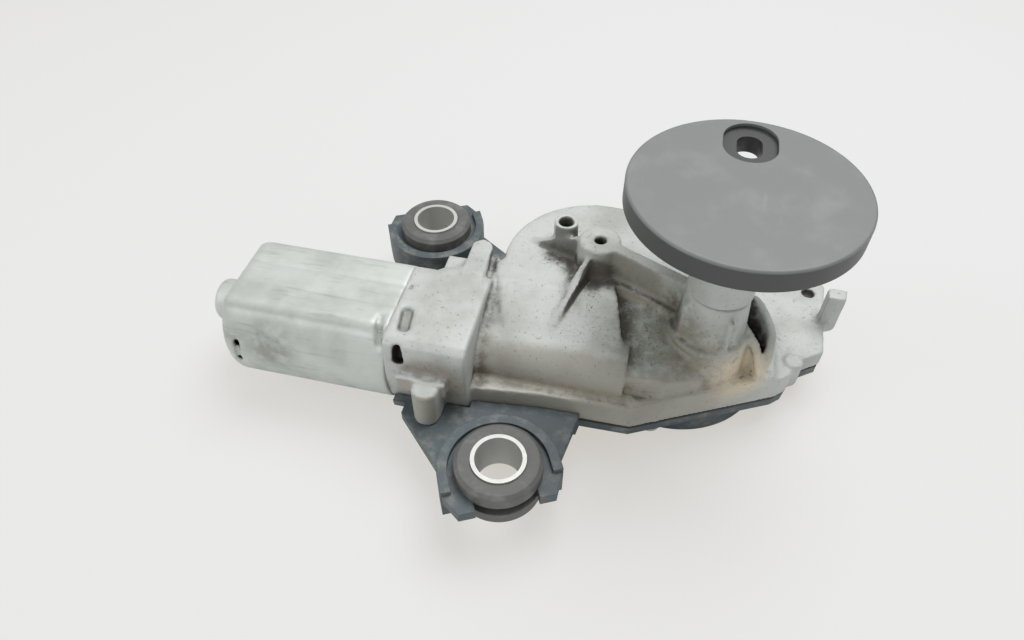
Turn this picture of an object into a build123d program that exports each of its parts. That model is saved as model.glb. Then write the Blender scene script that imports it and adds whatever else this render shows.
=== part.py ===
from build123d import *
import math
import os

# Rear wiper motor: a small direct-current motor drives a worm and a worm wheel;
# a crank pin, a drive link and a lever turn that into the to-and-fro swing of the
# output shaft, which carries the round coupling disc.
# Frame: origin at the centre of the coupling disc's top face, +Z up along the output
# shaft, +X from the motor can towards the gearbox. All sizes are in millimetres.

# ---------------------------------------------------------------- axes
WHEEL_X = -40.0                 # worm wheel axis
WHEEL_Y = 18.0
MOTOR_Y = -12.9                 # motor and worm axis, parallel to X
MOTOR_Z = -70.9

# ---------------------------------------------------------------- fits
FIXED_GAP = 0.02                # between pieces pressed or glued together
RUNNING_GAP = 0.05              # radial gap of a shaft in its bush
AXIAL_GAP = 0.3                 # end float of turning pieces
LOOSE_GAP = 0.5                 # around pieces that only pass each other

# ---------------------------------------------------------------- gear housing
HOUSING_BOTTOM = -82.5
SKIRT_TOP = -72.5
FLAT_TOP = -75.5                # low flat on the right of the housing
SWING_ROOF = -71.0              # top of the round part over the lever
HOUSING_WALL = 3.2
DOME_TOP = -53.5
DOME_RADIUS = 32.6
DOME_FOOT_RADIUS = 34.4
TUNNEL_RADIUS = 11.5
TUNNEL_START = -69.0
TUNNEL_END = -24.0
THROAT_RADIUS = 11.5
THROAT_END = -67.2
GROOVE_RADIUS = 10.6            # of the narrow ring between the throat and the tunnel
GROOVE = 1.2
GROOVE_REACH = 4.0              # to the rear of the motor axis
BUMP_RADIUS = 3.2
BUMP_TOP = -71.5
BUMP_PLACE = (31.0, 5.2)
PEG_RADIUS = 2.9
PEG_TOP = -61.5
PEG_BOTTOM = -78.5
PEG_PLACE = (43.6, 30.5)
NOTCH_RADIUS = 2.4
NOTCH_DEPTH = 3.0
NOTCH_PLACE = (37.6, 44.0)

# Plan of the skirt, from the neck along the front to the right block and back.
SKIRT_PLAN = [
    (-74.5, -31.0),
    (-50.0, -28.3),
    (-20.0, -27.6),
    (26.6, -3.8),
    (30.0, -0.6),
    (34.0, 9.0),
    (42.1, 14.8),
    (43.8, 49.0),
    (39.0, 54.0),
    (10.0, 54.0),
    (-40.0, 52.4),
    (-74.5, 14.0),
]

# Plan of the roof that runs from the dome down to the worm tunnel.
ROOF_PLAN = [
    (-74.4, 10.6),
    (-70.0, -2.4),
    (-66.0, -15.5),
    (-25.0, -17.5),
    (-28.3, -6.0),
    (-32.6, 9.4),
    (-55.0, 30.0),
]
ROOF_BREAK = 3.0                # where the roof starts to slope towards the tunnel
ROOF_SLOPE = 19.0

# Plan of the faceted body between the tunnel's end, the web and the column.
FACET_PLAN = [
    (-32.6, 9.4),
    (-28.3, -6.0),
    (-25.0, -18.0),
    (-25.0, -21.6),
    (-12.0, -21.8),
    (0.8, -15.0),
    (0.8, -6.0),
]
FACET_BACK = (-32.6, 9.4, -55.5)        # corners of the two planes on its top
FACET_CREST = (-8.4, -8.0, -57.5)
FACET_LEFT = (-24.1, -21.4, -64.5)
FACET_FRONT = (-12.5, -22.0, -63.5)
FACET_RIGHT = (0.5, -15.0, -66.5)

# Plan of the low flat on the right, reaching past the skirt.
FLAT_PLAN = [
    (26.0, 11.0),
    (33.5, 7.5),
    (60.0, 7.5),
    (60.0, 70.0),
    (12.0, 70.0),
    (12.0, 44.0),
    (24.4, 19.7),
]

# ---------------------------------------------------------------- bosses and webs
BOSS_TOP = -42.4
BOSS_RADIUS = 7.1
BOSS_HOLE_RADIUS = 2.1
BOSS_HOLE_DEPTH = 12.0
TUBE_PLACE = (-52.9, 24.9)
TUBE_RADIUS = 4.2
TUBE_BORE = 2.65
SIDE_WEB = 2.4
SIDE_WEB_END = (-64.0, 24.2)
FRONT_WEB = 2.4
FRONT_WEB_END = (-51.9, -13.7)
FRONT_WEB_FOOT = -59.5
WEB_TOP = -43.1
MAIN_WEB = 4.5
MAIN_WEB_ANGLE = math.degrees(math.atan2(-WHEEL_Y, -WHEEL_X))    # towards the column
FRONT_BOSS = (-85.5, -40.6)
FRONT_BOSS_RADIUS = 4.4
FRONT_BOSS_TOP = -64.0
FRONT_SHELF = [(-96.5, -36.2), (-79.5, -36.2)]
FRONT_SHELF_WIDTH = 5.6
FRONT_SHELF_BOTTOM = -69.5
REAR_BOSS = (-80.8, 15.2)
REAR_BOSS_RADIUS = 3.7
REAR_BOSS_TOP = -46.9
SHELF_TOP = -56.5
SHELF_LENGTH = 13.2

# ---------------------------------------------------------------- neck
NECK_START = -100.9
NECK_END = -73.5
NECK_FRONT = 22.4               # from the motor axis to the flat front face
NECK_REAR = 23.4
NECK_TOP = -51.7

# Section of the neck about the motor axis, to the rear and up: flat on top and in
# front, curving under at the bottom.
NECK_SECTION = [
    (-18.9, 19.2),
    (-21.6, 17.4),
    (-22.4, 14.8),
    (-22.4, 1.0),
    (-20.6, -9.5),
    (-13.0, -18.6),
    (-7.0, -19.4),
    (12.0, -19.4),
    (20.6, -11.0),
    (23.4, 0.0),
    (21.6, 9.6),
    (14.5, 17.9),
    (11.0, 19.2),
]
NECK_BORE = 17.6
NECK_BORE_END = -78.0
BEARING_RADIUS = 6.0
BEARING_WIDTH = 4.0
TUNNEL_BORE = 7.0

# ---------------------------------------------------------------- motor can
CAN_LENGTH = 59.6
CAN_RADIUS = 23.0
CAN_FLAT_DEPTH = 4.8            # from the round down to each of the two flats
CAN_WALL = 1.6
CAN_CORNER = 5.0
CAN_SPIGOT = 4.0                # how far the neck reaches into the can
CAN_BOSS_RADIUS = 7.6
CAN_BOSS_LENGTH = 10.8

# ---------------------------------------------------------------- output column
COLUMN_TOP = -39.4
COLUMN_TOP_RADIUS = 9.9
COLUMN_FOOT_RADIUS = 11.5
PEDESTAL_RADIUS = 12.8
PEDESTAL_FOOT_RADIUS = 14.0
PEDESTAL_TOP = -55.5
PILASTER_WIDTH = 1.8
PILASTER_ANGLES = (-145.0, -66.0)
LEAF_TOP = -45.5
LEAF_FLOOR = -68.5
LEAF_WALL = 1.6

# Plan of the leaf-shaped pocket that props the column on its right side, and its two
# side views: its top falls away from the column and towards the front.
LEAF_PLAN = [
    (6.0, 7.5),
    (12.0, 9.0),
    (17.0, 5.8),
    (19.9, 0.5),
    (20.5, -4.0),
    (18.6, -7.4),
    (15.6, -3.2),
    (7.0, 2.0),
]
LEAF_FRONT_VIEW = [
    (0.0, LEAF_TOP),
    (10.0, LEAF_TOP),
    (21.0, -56.5),
    (21.0, HOUSING_BOTTOM),
    (0.0, HOUSING_BOTTOM),
]
LEAF_SIDE_VIEW = [
    (12.0, LEAF_TOP),
    (6.0, LEAF_TOP),
    (-3.0, -59.5),
    (-8.0, -70.5),
    (-8.0, HOUSING_BOTTOM),
    (12.0, HOUSING_BOTTOM),
]
SHAFT_RADIUS = 5.0
SHAFT_TOP = -3.2
SHAFT_BOTTOM = -78.2
BUSH_RADIUS = 7.0
UPPER_BUSH = 9.0
LOWER_BUSH = 10.0
SEAL_RING = 2.3
SHAFT_BOSS_BOTTOM = -72.5
WASHER_RADIUS = 8.6
WASHER = 2.4

# ---------------------------------------------------------------- coupling disc
DISC_RADIUS = 33.7
DISC_HEIGHT = 7.0
DISC_PLATE = 2.8
DISC_RIM = 2.6
DISC_RIB = 1.6
SLOT_WIDTH = 7.4
SLOT_LENGTH = 11.2
SLOT_PLACE = 21.5               # from the shaft axis to the slot's middle
RECESS_WIDTH = 16.0
RECESS_LENGTH = 20.0
RECESS_DEPTH = 1.6
RIB_COUNT = 8
DISC_EDGE = 0.8
HUB_RADIUS = 10.3
HUB_BOSS_RADIUS = 13.0
HUB_CLEARANCE = 0.4             # between the hub and the column

# ---------------------------------------------------------------- gear and crank drive
MODULE = 1.1
WHEEL_TEETH = 48
WHEEL_FACE = 8.0
TOOTH_WIDTH = 1.3               # at the pitch circle, thin for free running
TOOTH_SLOPE = 0.364             # tangent of the pressure angle
ADDENDUM = 1.0
DEDENDUM = 1.3
HUB_FACE = 10.2
HUB_STEP = 0.2                  # of the hub above the teeth
WHEEL_HUB_RADIUS = 8.0
WHEEL_WEB = 3.0
WHEEL_RIM = 3.5
WORM_TURNS = 6
WORM_RUNOUT = 1.6               # plain root beyond each end of the thread
WORM_ROOT_RADIUS = 3.2
ARMATURE_SHAFT = 3.0
WORM_END = -19.0
WORM_BUSH_LENGTH = 6.8
BALL_RADIUS = 1.2
SWING_WALL = 2.5
SWING_RIGHT = 22.0              # the space ends here on the right
SWING_RADIUS = 30.0             # of the space the lever swings in
SWING_TOP = -74.0
SWING_CUT = 5.5                 # from the shaft axis to the solid front wall
SWING_CUT_ANGLE = 29.6
CAVITY_RADIUS = 29.5
CAVITY_TOP = -62.5
CRANK_RADIUS = 13.0
CRANK_ANGLE = 82.0              # of the crank pin about the wheel at rest
LEVER_LENGTH = 17.5
LEVER_ANGLE = 80.0              # of the lever about the output shaft at rest
LEVER_THICKNESS = 2.8
LINK_THICKNESS = 2.8
LINK_WIDTH = 8.0
EYE_RADIUS = 5.5
PIN_RADIUS = 3.0
WHEEL_PIN_RADIUS = 4.0
WHEEL_PIN_TOP = -57.5
CLIP = 0.7
CLIP_DEPTH = 0.8
CLIP_RADIUS = 6.4
PIN_HEAD = 0.8
LEVER_HUB_RADIUS = 8.0
CRANK_SEAT_RADIUS = 5.0

# ---------------------------------------------------------------- mounting ears
EAR_RADIUS = 19.0
EAR_RIM = 3.2
EAR_TOP = -71.9
EAR_WEB_TOP = -73.7
EAR_WEB = 3.8
EAR_BOTTOM = -84.5
RIM_ARM = 5.5                   # how far the rim reaches past the ear's centre
WEB_ARM = 12.6                  # how far the fork reaches past the ear's centre
FRONT_EAR = (-57.0, -57.9)
REAR_EAR = (-108.3, 44.7)
EAR_PLATE_TOP = -78.7
EAR_PLATE = 3.6
EAR_HEADING = -63.4             # of the front fork's mouth, the rear one opposite

# Plans of the plates that join the ears to the cover.
FRONT_PLATE_PLAN = [
    (-94.5, -34.0),
    (-94.5, -41.5),
    (-89.5, -46.5),
    (-76.0, -60.0),
    (-57.0, -50.0),
    (-40.0, -49.4),
    (-36.0, -24.0),
    (-70.0, -24.0),
]
REAR_PLATE_PLAN = [
    (-76.0, 8.0),
    (-98.0, 8.0),
    (-100.0, 26.0),
    (-124.0, 36.0),
    (-108.0, 42.0),
    (-90.0, 50.0),
    (-70.0, 36.0),
    (-66.0, 14.0),
]

# ---------------------------------------------------------------- rubber and sleeve
RUBBER_RADIUS = 13.7
RUBBER_TOP = -68.5
RUBBER_HEIGHT = 13.2
RUBBER_BEVEL = 1.2
WAIST_RADIUS = 9.8
SLEEVE_RADIUS = 8.6
SLEEVE_BORE = 7.3
SLEEVE_STAND = 0.7              # how far the sleeve stands proud of the rubber

# ---------------------------------------------------------------- bottom cover
SEAL_THICKNESS = 1.0
SEAL_WIDTH = 2.2
COVER_PLATE = 3.2
COVER_INSET = 0.4
DRUM_PLACE = (-8.5, 18.0)
DRUM_RADIUS = 33.0
DRUM_DEPTH = 11.0
DRUM_WALL = 2.4
SADDLE_WALL = 3.0
SADDLE_CUT = 10.0               # how far the opening for the neck runs on past it
STANDOFF_RADIUS = 2.5
STANDOFF_ROOT = 0.5             # how far a standoff is sunk in the floor
STANDOFFS = [(-25.0, 12.0), (8.0, 12.0), (-25.0, 32.0), (8.0, 32.0)]

# ---------------------------------------------------------------- screws
SCREW_RADIUS = 2.0
SCREW_HEAD_RADIUS = 3.8
SCREW_HEAD = 2.6
SCREW_LENGTH = 9.0              # into the neck bosses
COVER_SCREW = 5.8               # into the skirt
SCREW_LUG = 5.2
SKIRT_SCREWS = [(-60.0, -23.5), (-13.5, -18.6), (37.5, 22.0), (24.0, 40.0), (-54.0, 49.5)]

# ---------------------------------------------------------------- motor inside
MAGNET_FIT = 0.2                # between a magnet and the can
MAGNET_THICKNESS = 5.0
MAGNET_LEAD = 10.5              # from the closed end of the can
MAGNET_TRAIL = 11.1             # from the neck
MAGNET_SPREAD = 88.0            # angle each magnet covers
AIR_GAP = 0.7                   # between the magnets and the core
CORE_LEAD = 12.5                # from the closed end of the can
CORE_TRAIL = 14.1               # from the neck
CORE_SLOTS = 10
SLOT_INNER = 8.0
SLOT_COVER = 1.5                # iron outside the slots
SLOT_WIDE = 3.0
SLOT_MOUTH = 1.4
WINDING_COVER = 1.3             # from the rim of the core in to the coil ends
WINDING_INNER = 5.0
WINDING_OVERHANG = 6.0
COMMUTATOR_RADIUS = 8.0
COMMUTATOR_START = -106.0
COMMUTATOR_END = -96.0
COMMUTATOR_BARS = 10
BAR_GAP = 0.5
RETAINER_RADIUS = 12.0
RETAINER = 0.9
CAN_BEARING = 7.0
BRUSH_X = -101.0
BRUSH_WIDTH = 5.0
BRUSH_HEIGHT = 4.0
BRUSH_LENGTH = 5.0
BRUSH_BOX = 1.0
BRUSH_REACH = 17.0
BRUSH_PLATE = 2.0
BRUSH_PLATE_START = -95.0
BRUSH_PLATE_BORE = 9.4
SPRING_RADIUS = 1.5
SPRING_WIRE = 0.3
SPRING_TURNS = 4

# ---------------------------------------------------------------- connector
SOCKET_WIDTH = 30.0
SOCKET_FRONT = 72.0
SOCKET_BACK = 40.0
SOCKET_HEIGHT = 10.6
SOCKET_WALL = 1.8
SOCKET_FLOOR = 55.0             # where the plug stops
PIN_COUNT = 4
PIN_DROP = 4.3                  # of the pins below the top of the socket
PIN_SPACING = 5.5
PIN_WIDTH = 2.8
PIN_THICKNESS = 0.8
PIN_FRONT = 64.0
PIN_BACK = 38.0
BOARD_LENGTH = 40.0
BOARD_WIDTH = 32.0
BOARD_THICKNESS = 1.6
BOARD_PLACE = (-8.5, 22.0)
RELAY_PLACE = (-9.0, -6.0)      # from the board's middle
RELAY_LENGTH = 16.0
RELAY_WIDTH = 12.0
RELAY_HEIGHT = 6.0
CHOKE_PLACE = (11.0, -6.0)
CHOKE_RADIUS = 4.0

# ---------------------------------------------------------------- derived places
MIDDLE = (0.0, 0.0)
WHEEL_AXIS = (WHEEL_X, WHEEL_Y)
CAN_START = NECK_START - CAN_LENGTH
CAN_FLAT_HEIGHT = 2 * (CAN_RADIUS - CAN_FLAT_DEPTH)
TOOTH_PITCH = math.pi * MODULE
WHEEL_PITCH_RADIUS = MODULE * WHEEL_TEETH / 2
WORM_PITCH_RADIUS = WHEEL_Y - MOTOR_Y - WHEEL_PITCH_RADIUS
WHEEL_TOP = MOTOR_Z + WHEEL_FACE / 2
WHEEL_BOTTOM = MOTOR_Z - WHEEL_FACE / 2
LEVER_TOP = WHEEL_BOTTOM - AXIAL_GAP - 0.1
LEVER_BOTTOM = LEVER_TOP - LEVER_THICKNESS
LINK_TOP = LEVER_BOTTOM - AXIAL_GAP
LINK_BOTTOM = LINK_TOP - LINK_THICKNESS
SEAL_BOTTOM = HOUSING_BOTTOM - SEAL_THICKNESS
COVER_BOTTOM = SEAL_BOTTOM - COVER_PLATE
SOCKET_TOP = COVER_BOTTOM
RUBBER_BOTTOM = RUBBER_TOP - RUBBER_HEIGHT
WHEEL_HUB_TOP = WHEEL_TOP + HUB_STEP
WHEEL_HUB_BOTTOM = WHEEL_HUB_TOP - HUB_FACE
PIN_END = LINK_TOP + AXIAL_GAP
PIN_LEVEL = SOCKET_TOP - PIN_DROP
BOARD_TOP = PIN_LEVEL - PIN_THICKNESS / 2 - FIXED_GAP
BOARD_BOTTOM = BOARD_TOP - BOARD_THICKNESS
HUB_BOTTOM = COLUMN_TOP + HUB_CLEARANCE
CUP_FLOOR = WORM_END - 1.5
BALL_SEAT = CUP_FLOOR - 2 * BALL_RADIUS - FIXED_GAP
UPPER_BUSH_TOP = COLUMN_TOP - 3.1
CLIP_BOTTOM = PIN_END + 0.3
RIB_BOTTOM = 1.0 - DISC_HEIGHT
PLATE_SEAT = EAR_PLATE_TOP + FIXED_GAP
WORM_START = WHEEL_X - TOOTH_PITCH * WORM_TURNS / 2
WORM_STOP = WHEEL_X + TOOTH_PITCH * WORM_TURNS / 2
THROAT_BORE = BEARING_RADIUS - 1.5
MAGNET_OUTER = CAN_RADIUS - CAN_WALL - MAGNET_FIT
MAGNET_INNER = MAGNET_OUTER - MAGNET_THICKNESS
MAGNET_START = CAN_START + MAGNET_LEAD
MAGNET_END = NECK_START - MAGNET_TRAIL
CORE_RADIUS = MAGNET_INNER - AIR_GAP
CORE_START = CAN_START + CORE_LEAD
CORE_END = NECK_START - CORE_TRAIL
SLOT_OUTER = CORE_RADIUS - SLOT_COVER
WINDING_OUTER = CORE_RADIUS - WINDING_COVER
SHAFT_START = CAN_START - CAN_BOSS_LENGTH + CAN_WALL + AXIAL_GAP


def around(centre, radius, angle):
    """Point at a radius and angle about a centre in plan."""
    turn = math.radians(angle)
    return (centre[0] + radius * math.cos(turn), centre[1] + radius * math.sin(turn))


CRANK_PIN = around(WHEEL_AXIS, CRANK_RADIUS, CRANK_ANGLE)
LEVER_PIN = around(MIDDLE, LEVER_LENGTH, LEVER_ANGLE)


def post(radius, low, high, centre=MIDDLE):
    """Upright cylinder between two heights."""
    face = Plane(origin=(centre[0], centre[1], low)) * Circle(radius)
    return extrude(face, high - low)


def ring(outer, inner, low, high, centre=MIDDLE):
    """Upright tube between two heights."""
    return post(outer, low, high, centre) - post(inner, low, high, centre)


def cone(low_radius, high_radius, low, high, centre=MIDDLE):
    """Upright drafted boss between two heights."""
    place = Pos(centre[0], centre[1], (low + high) / 2)
    return place * Cone(low_radius, high_radius, high - low)


def bar(radius, start, end):
    """Cylinder along the motor axis."""
    face = Plane(origin=(start, MOTOR_Y, MOTOR_Z), z_dir=(1, 0, 0)) * Circle(radius)
    return extrude(face, end - start)


def sleeve(outer, inner, start, end):
    """Tube along the motor axis."""
    return bar(outer, start, end) - bar(inner, start, end)


def slab(sketch, low, high):
    """Plan sketch made solid between two heights."""
    return extrude(Pos(0, 0, low) * sketch, high - low)


def strip(start, end, width):
    """Plan rectangle of a given width between two points."""
    dx = end[0] - start[0]
    dy = end[1] - start[1]
    middle = Pos((start[0] + end[0]) / 2, (start[1] + end[1]) / 2)
    return middle * Rot(0, 0, math.degrees(math.atan2(dy, dx))) * Rectangle(math.hypot(dx, dy), width)


def wall_between(start, end, width, low, start_high, end_high):
    """Upright web of a given width whose top runs from one height to another."""
    dx = end[0] - start[0]
    dy = end[1] - start[1]
    side = Plane(origin=(start[0], start[1], 0), x_dir=(dx, dy, 0), z_dir=(dy, -dx, 0))
    run = math.hypot(dx, dy)
    outline = Polyline((0, low), (0, start_high), (run, end_high), (run, low), close=True)
    return extrude(side * make_face(outline), width / 2, both=True)


def area(corners):
    """Plan face with the given corners."""
    return make_face(Polyline(*corners, close=True))


# ================================================================ gear housing
skirt_face = area(SKIRT_PLAN)


def skirt(inset):
    """Skirt plan moved inwards, or outwards where the inset is negative."""
    if inset == 0:
        return skirt_face
    return offset(skirt_face, -inset, kind=Kind.INTERSECTION)


def plan(inset):
    """Plan of the joint between housing and cover: skirt, dome and screw lugs, moved inwards."""
    face = skirt(inset) + Pos(WHEEL_X, WHEEL_Y) * Circle(DOME_FOOT_RADIUS - inset)
    for lug in SKIRT_SCREWS:
        face += Pos(lug[0], lug[1]) * Circle(SCREW_LUG - inset)
    return face


def below(body, first, second, third):
    """The part of a body under the plane through three points."""
    start = Vector(*first)
    side = Vector(*second) - start
    cut = Plane(origin=start, x_dir=side, z_dir=side.cross(Vector(*third) - start))
    return split(body, bisect_by=cut, keep=Keep.BOTTOM)


def motor_plane():
    """Plane across the motor axis, with Y to the right and Z up."""
    return Plane(origin=(0, MOTOR_Y, MOTOR_Z), x_dir=(0, 1, 0), z_dir=(1, 0, 0))


def neck_section(grow):
    """Cross-section of the neck, grown by an amount on each side."""
    face = area(NECK_SECTION)
    if grow > 0:
        face = offset(face, grow, kind=Kind.INTERSECTION)
    return motor_plane() * face


def can_section(shrink):
    """Round cross-section with two flats, shrunk by an amount all round."""
    flats = Rectangle(2 * CAN_RADIUS, CAN_FLAT_HEIGHT - 2 * shrink)
    return motor_plane() * (Circle(CAN_RADIUS - shrink) & flats)


def along(section, start, end):
    """Cross-section carried along the motor axis."""
    return Pos(start, 0, 0) * extrude(section, end - start)


def leaf_rib():
    """Leaf-shaped pocket that props the column on its right side."""
    shell = slab(area(LEAF_PLAN), FLAT_TOP, LEAF_TOP)
    shell = shell & extrude(Plane.XZ * area(LEAF_FRONT_VIEW), DOME_RADIUS, both=True)
    return shell & extrude(Plane.YZ * area(LEAF_SIDE_VIEW), DOME_RADIUS, both=True)


def swing_plan(grow):
    """Plan of the space the lever and the link swing in, grown by an amount."""
    reach = SWING_RADIUS + grow
    return Circle(reach) & Pos(SWING_RIGHT + grow - reach, 0) * Rectangle(2 * reach, 2 * reach)


def build_roof():
    """Dome over the wheel with the roof that slopes from it to the worm tunnel."""
    roof = cone(DOME_FOOT_RADIUS, DOME_RADIUS, HOUSING_BOTTOM, DOME_TOP, WHEEL_AXIS)
    roof += slab(area(ROOF_PLAN), SKIRT_TOP, DOME_TOP)
    fall = math.tan(math.radians(ROOF_SLOPE))
    ridge = (0, ROOF_BREAK, DOME_TOP)
    roof = below(roof, ridge, (1, ROOF_BREAK, DOME_TOP), (0, ROOF_BREAK + 1, DOME_TOP + fall))
    facet = slab(area(FACET_PLAN), SKIRT_TOP, DOME_TOP)
    roof -= facet
    facet = below(facet, FACET_BACK, FACET_LEFT, FACET_CREST)
    return roof + below(facet, FACET_CREST, FACET_FRONT, FACET_RIGHT)


def build_housing_shape():
    """Outside of the die-cast housing, still solid."""
    body = slab(plan(0), HOUSING_BOTTOM, SKIRT_TOP)
    body -= slab(area(FLAT_PLAN), FLAT_TOP, SKIRT_TOP)
    body += slab(skirt(0) & swing_plan(SWING_WALL), HOUSING_BOTTOM, SWING_ROOF)
    body += build_roof()
    body += bar(TUNNEL_RADIUS, THROAT_END, TUNNEL_END)
    groove_middle = Pos(THROAT_END + GROOVE / 2, MOTOR_Y + GROOVE_REACH - THROAT_RADIUS)
    body -= slab(groove_middle * Rectangle(GROOVE, 2 * THROAT_RADIUS), SKIRT_TOP, DOME_TOP)
    body += bar(GROOVE_RADIUS, THROAT_END, THROAT_END + GROOVE)
    body += bar(THROAT_RADIUS, NECK_END, THROAT_END)
    body += along(neck_section(0), NECK_START, NECK_END)
    body += cone(PEDESTAL_FOOT_RADIUS, PEDESTAL_RADIUS, HOUSING_BOTTOM, PEDESTAL_TOP)
    body += cone(COLUMN_FOOT_RADIUS, COLUMN_TOP_RADIUS, PEDESTAL_TOP - 2, COLUMN_TOP)
    body += leaf_rib()
    for angle in PILASTER_ANGLES:
        foot = around(MIDDLE, COLUMN_FOOT_RADIUS + 1, angle)
        body += wall_between(MIDDLE, foot, PILASTER_WIDTH, PEDESTAL_TOP - 1, COLUMN_TOP - 1, COLUMN_TOP - 3)
    body += post(BUMP_RADIUS, HOUSING_BOTTOM, BUMP_TOP, BUMP_PLACE)
    body += post(PEG_RADIUS, PEG_BOTTOM, PEG_TOP, PEG_PLACE)
    return body


def build_bosses():
    """Bosses, tube and webs on the dome, and the two screw bosses of the neck."""
    boss = cone(BOSS_RADIUS + 0.9, BOSS_RADIUS, DOME_TOP - 2, BOSS_TOP, WHEEL_AXIS)
    boss += cone(TUBE_RADIUS + 0.3, TUBE_RADIUS, DOME_TOP - 2, BOSS_TOP, TUBE_PLACE)
    boss += wall_between(WHEEL_AXIS, SIDE_WEB_END, SIDE_WEB, DOME_TOP - 2, WEB_TOP, DOME_TOP)
    boss += wall_between(WHEEL_AXIS, FRONT_WEB_END, FRONT_WEB, CAVITY_TOP + 2, WEB_TOP, FRONT_WEB_FOOT)
    web_start = around(WHEEL_AXIS, BOSS_RADIUS - 1.5, MAIN_WEB_ANGLE)
    boss += wall_between(web_start, MIDDLE, MAIN_WEB, PEDESTAL_TOP - 4, BOSS_TOP, BOSS_TOP)
    front = (FRONT_BOSS[0], MOTOR_Y - NECK_FRONT + 4)
    boss += post(FRONT_BOSS_RADIUS, PLATE_SEAT, FRONT_BOSS_TOP, FRONT_BOSS)
    boss += slab(strip(FRONT_BOSS, front, 2 * FRONT_BOSS_RADIUS), PLATE_SEAT, FRONT_BOSS_TOP)
    boss += slab(strip(*FRONT_SHELF, FRONT_SHELF_WIDTH), FRONT_SHELF_BOTTOM, FRONT_BOSS_TOP + 0.5)
    rear = (REAR_BOSS[0], MOTOR_Y + NECK_REAR / 2)
    boss += post(REAR_BOSS_RADIUS, PLATE_SEAT, REAR_BOSS_TOP, REAR_BOSS)
    boss += wall_between(REAR_BOSS, rear, 2 * REAR_BOSS_RADIUS, PLATE_SEAT, REAR_BOSS_TOP, NECK_TOP)
    shelf_start = (REAR_BOSS[0], REAR_BOSS[1] - 2)
    shelf_end = (REAR_BOSS[0] - SHELF_LENGTH, REAR_BOSS[1] - 2)
    boss += wall_between(shelf_start, shelf_end, 2 * REAR_BOSS_RADIUS, PLATE_SEAT, SHELF_TOP, SHELF_TOP - 1)
    return boss


def build_hollow():
    """Space inside the housing for the motor end, worm, wheel and crank drive."""
    hollow = post(CAVITY_RADIUS, HOUSING_BOTTOM, CAVITY_TOP, WHEEL_AXIS)
    hollow -= post(BOSS_RADIUS, WHEEL_HUB_TOP + AXIAL_GAP, CAVITY_TOP, WHEEL_AXIS)
    swing = skirt(HOUSING_WALL) & swing_plan(0)
    solid_side = Pos(0, -SWING_CUT - SWING_RADIUS) * Rectangle(5 * SWING_RADIUS, 2 * SWING_RADIUS)
    hollow += slab(swing - Rot(0, 0, SWING_CUT_ANGLE) * solid_side, HOUSING_BOTTOM, SWING_TOP)
    hollow += post(WASHER_RADIUS + 0.9, HOUSING_BOTTOM, SHAFT_BOSS_BOTTOM)
    hollow += bar(THROAT_BORE, NECK_BORE_END, TUNNEL_START)
    hollow += bar(TUNNEL_BORE, TUNNEL_START - 2, WORM_END)
    hollow += bar(NECK_BORE, NECK_START - CAN_SPIGOT, NECK_BORE_END)
    hollow += bar(BEARING_RADIUS + FIXED_GAP, NECK_BORE_END, NECK_BORE_END + BEARING_WIDTH + FIXED_GAP)
    hollow += post(BUSH_RADIUS + FIXED_GAP, SHAFT_BOSS_BOTTOM, COLUMN_TOP)
    hollow += post(WHEEL_PIN_RADIUS + FIXED_GAP, PIN_END, WHEEL_PIN_TOP + FIXED_GAP, WHEEL_AXIS)
    hollow += post(BOSS_HOLE_RADIUS, BOSS_TOP - BOSS_HOLE_DEPTH, BOSS_TOP, WHEEL_AXIS)
    hollow += post(TUBE_BORE, BOSS_TOP - BOSS_HOLE_DEPTH, BOSS_TOP, TUBE_PLACE)
    hollow += post(NOTCH_RADIUS, FLAT_TOP - NOTCH_DEPTH, FLAT_TOP, NOTCH_PLACE)
    hollow += slab(offset(area(LEAF_PLAN), -LEAF_WALL), LEAF_FLOOR, LEAF_TOP)
    for place in SKIRT_SCREWS:
        hollow += post(SCREW_RADIUS + FIXED_GAP, HOUSING_BOTTOM, HOUSING_BOTTOM + COVER_SCREW, place)
    for place in (FRONT_BOSS, REAR_BOSS):
        hollow += post(SCREW_RADIUS + FIXED_GAP, EAR_PLATE_TOP, EAR_PLATE_TOP + SCREW_LENGTH, place)
    return hollow


def build_housing():
    """Die-cast aluminium housing with its spigot for the motor can."""
    spigot = along(can_section(CAN_WALL + FIXED_GAP), NECK_START - CAN_SPIGOT, NECK_START)
    return build_housing_shape() + build_bosses() + spigot - build_hollow()


# ================================================================ bottom cover and seal
def ear_place(centre, heading):
    """Location of an ear, with its own X towards the open mouth of the fork."""
    return Pos(centre[0], centre[1], 0) * Rot(0, 0, heading)


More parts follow.
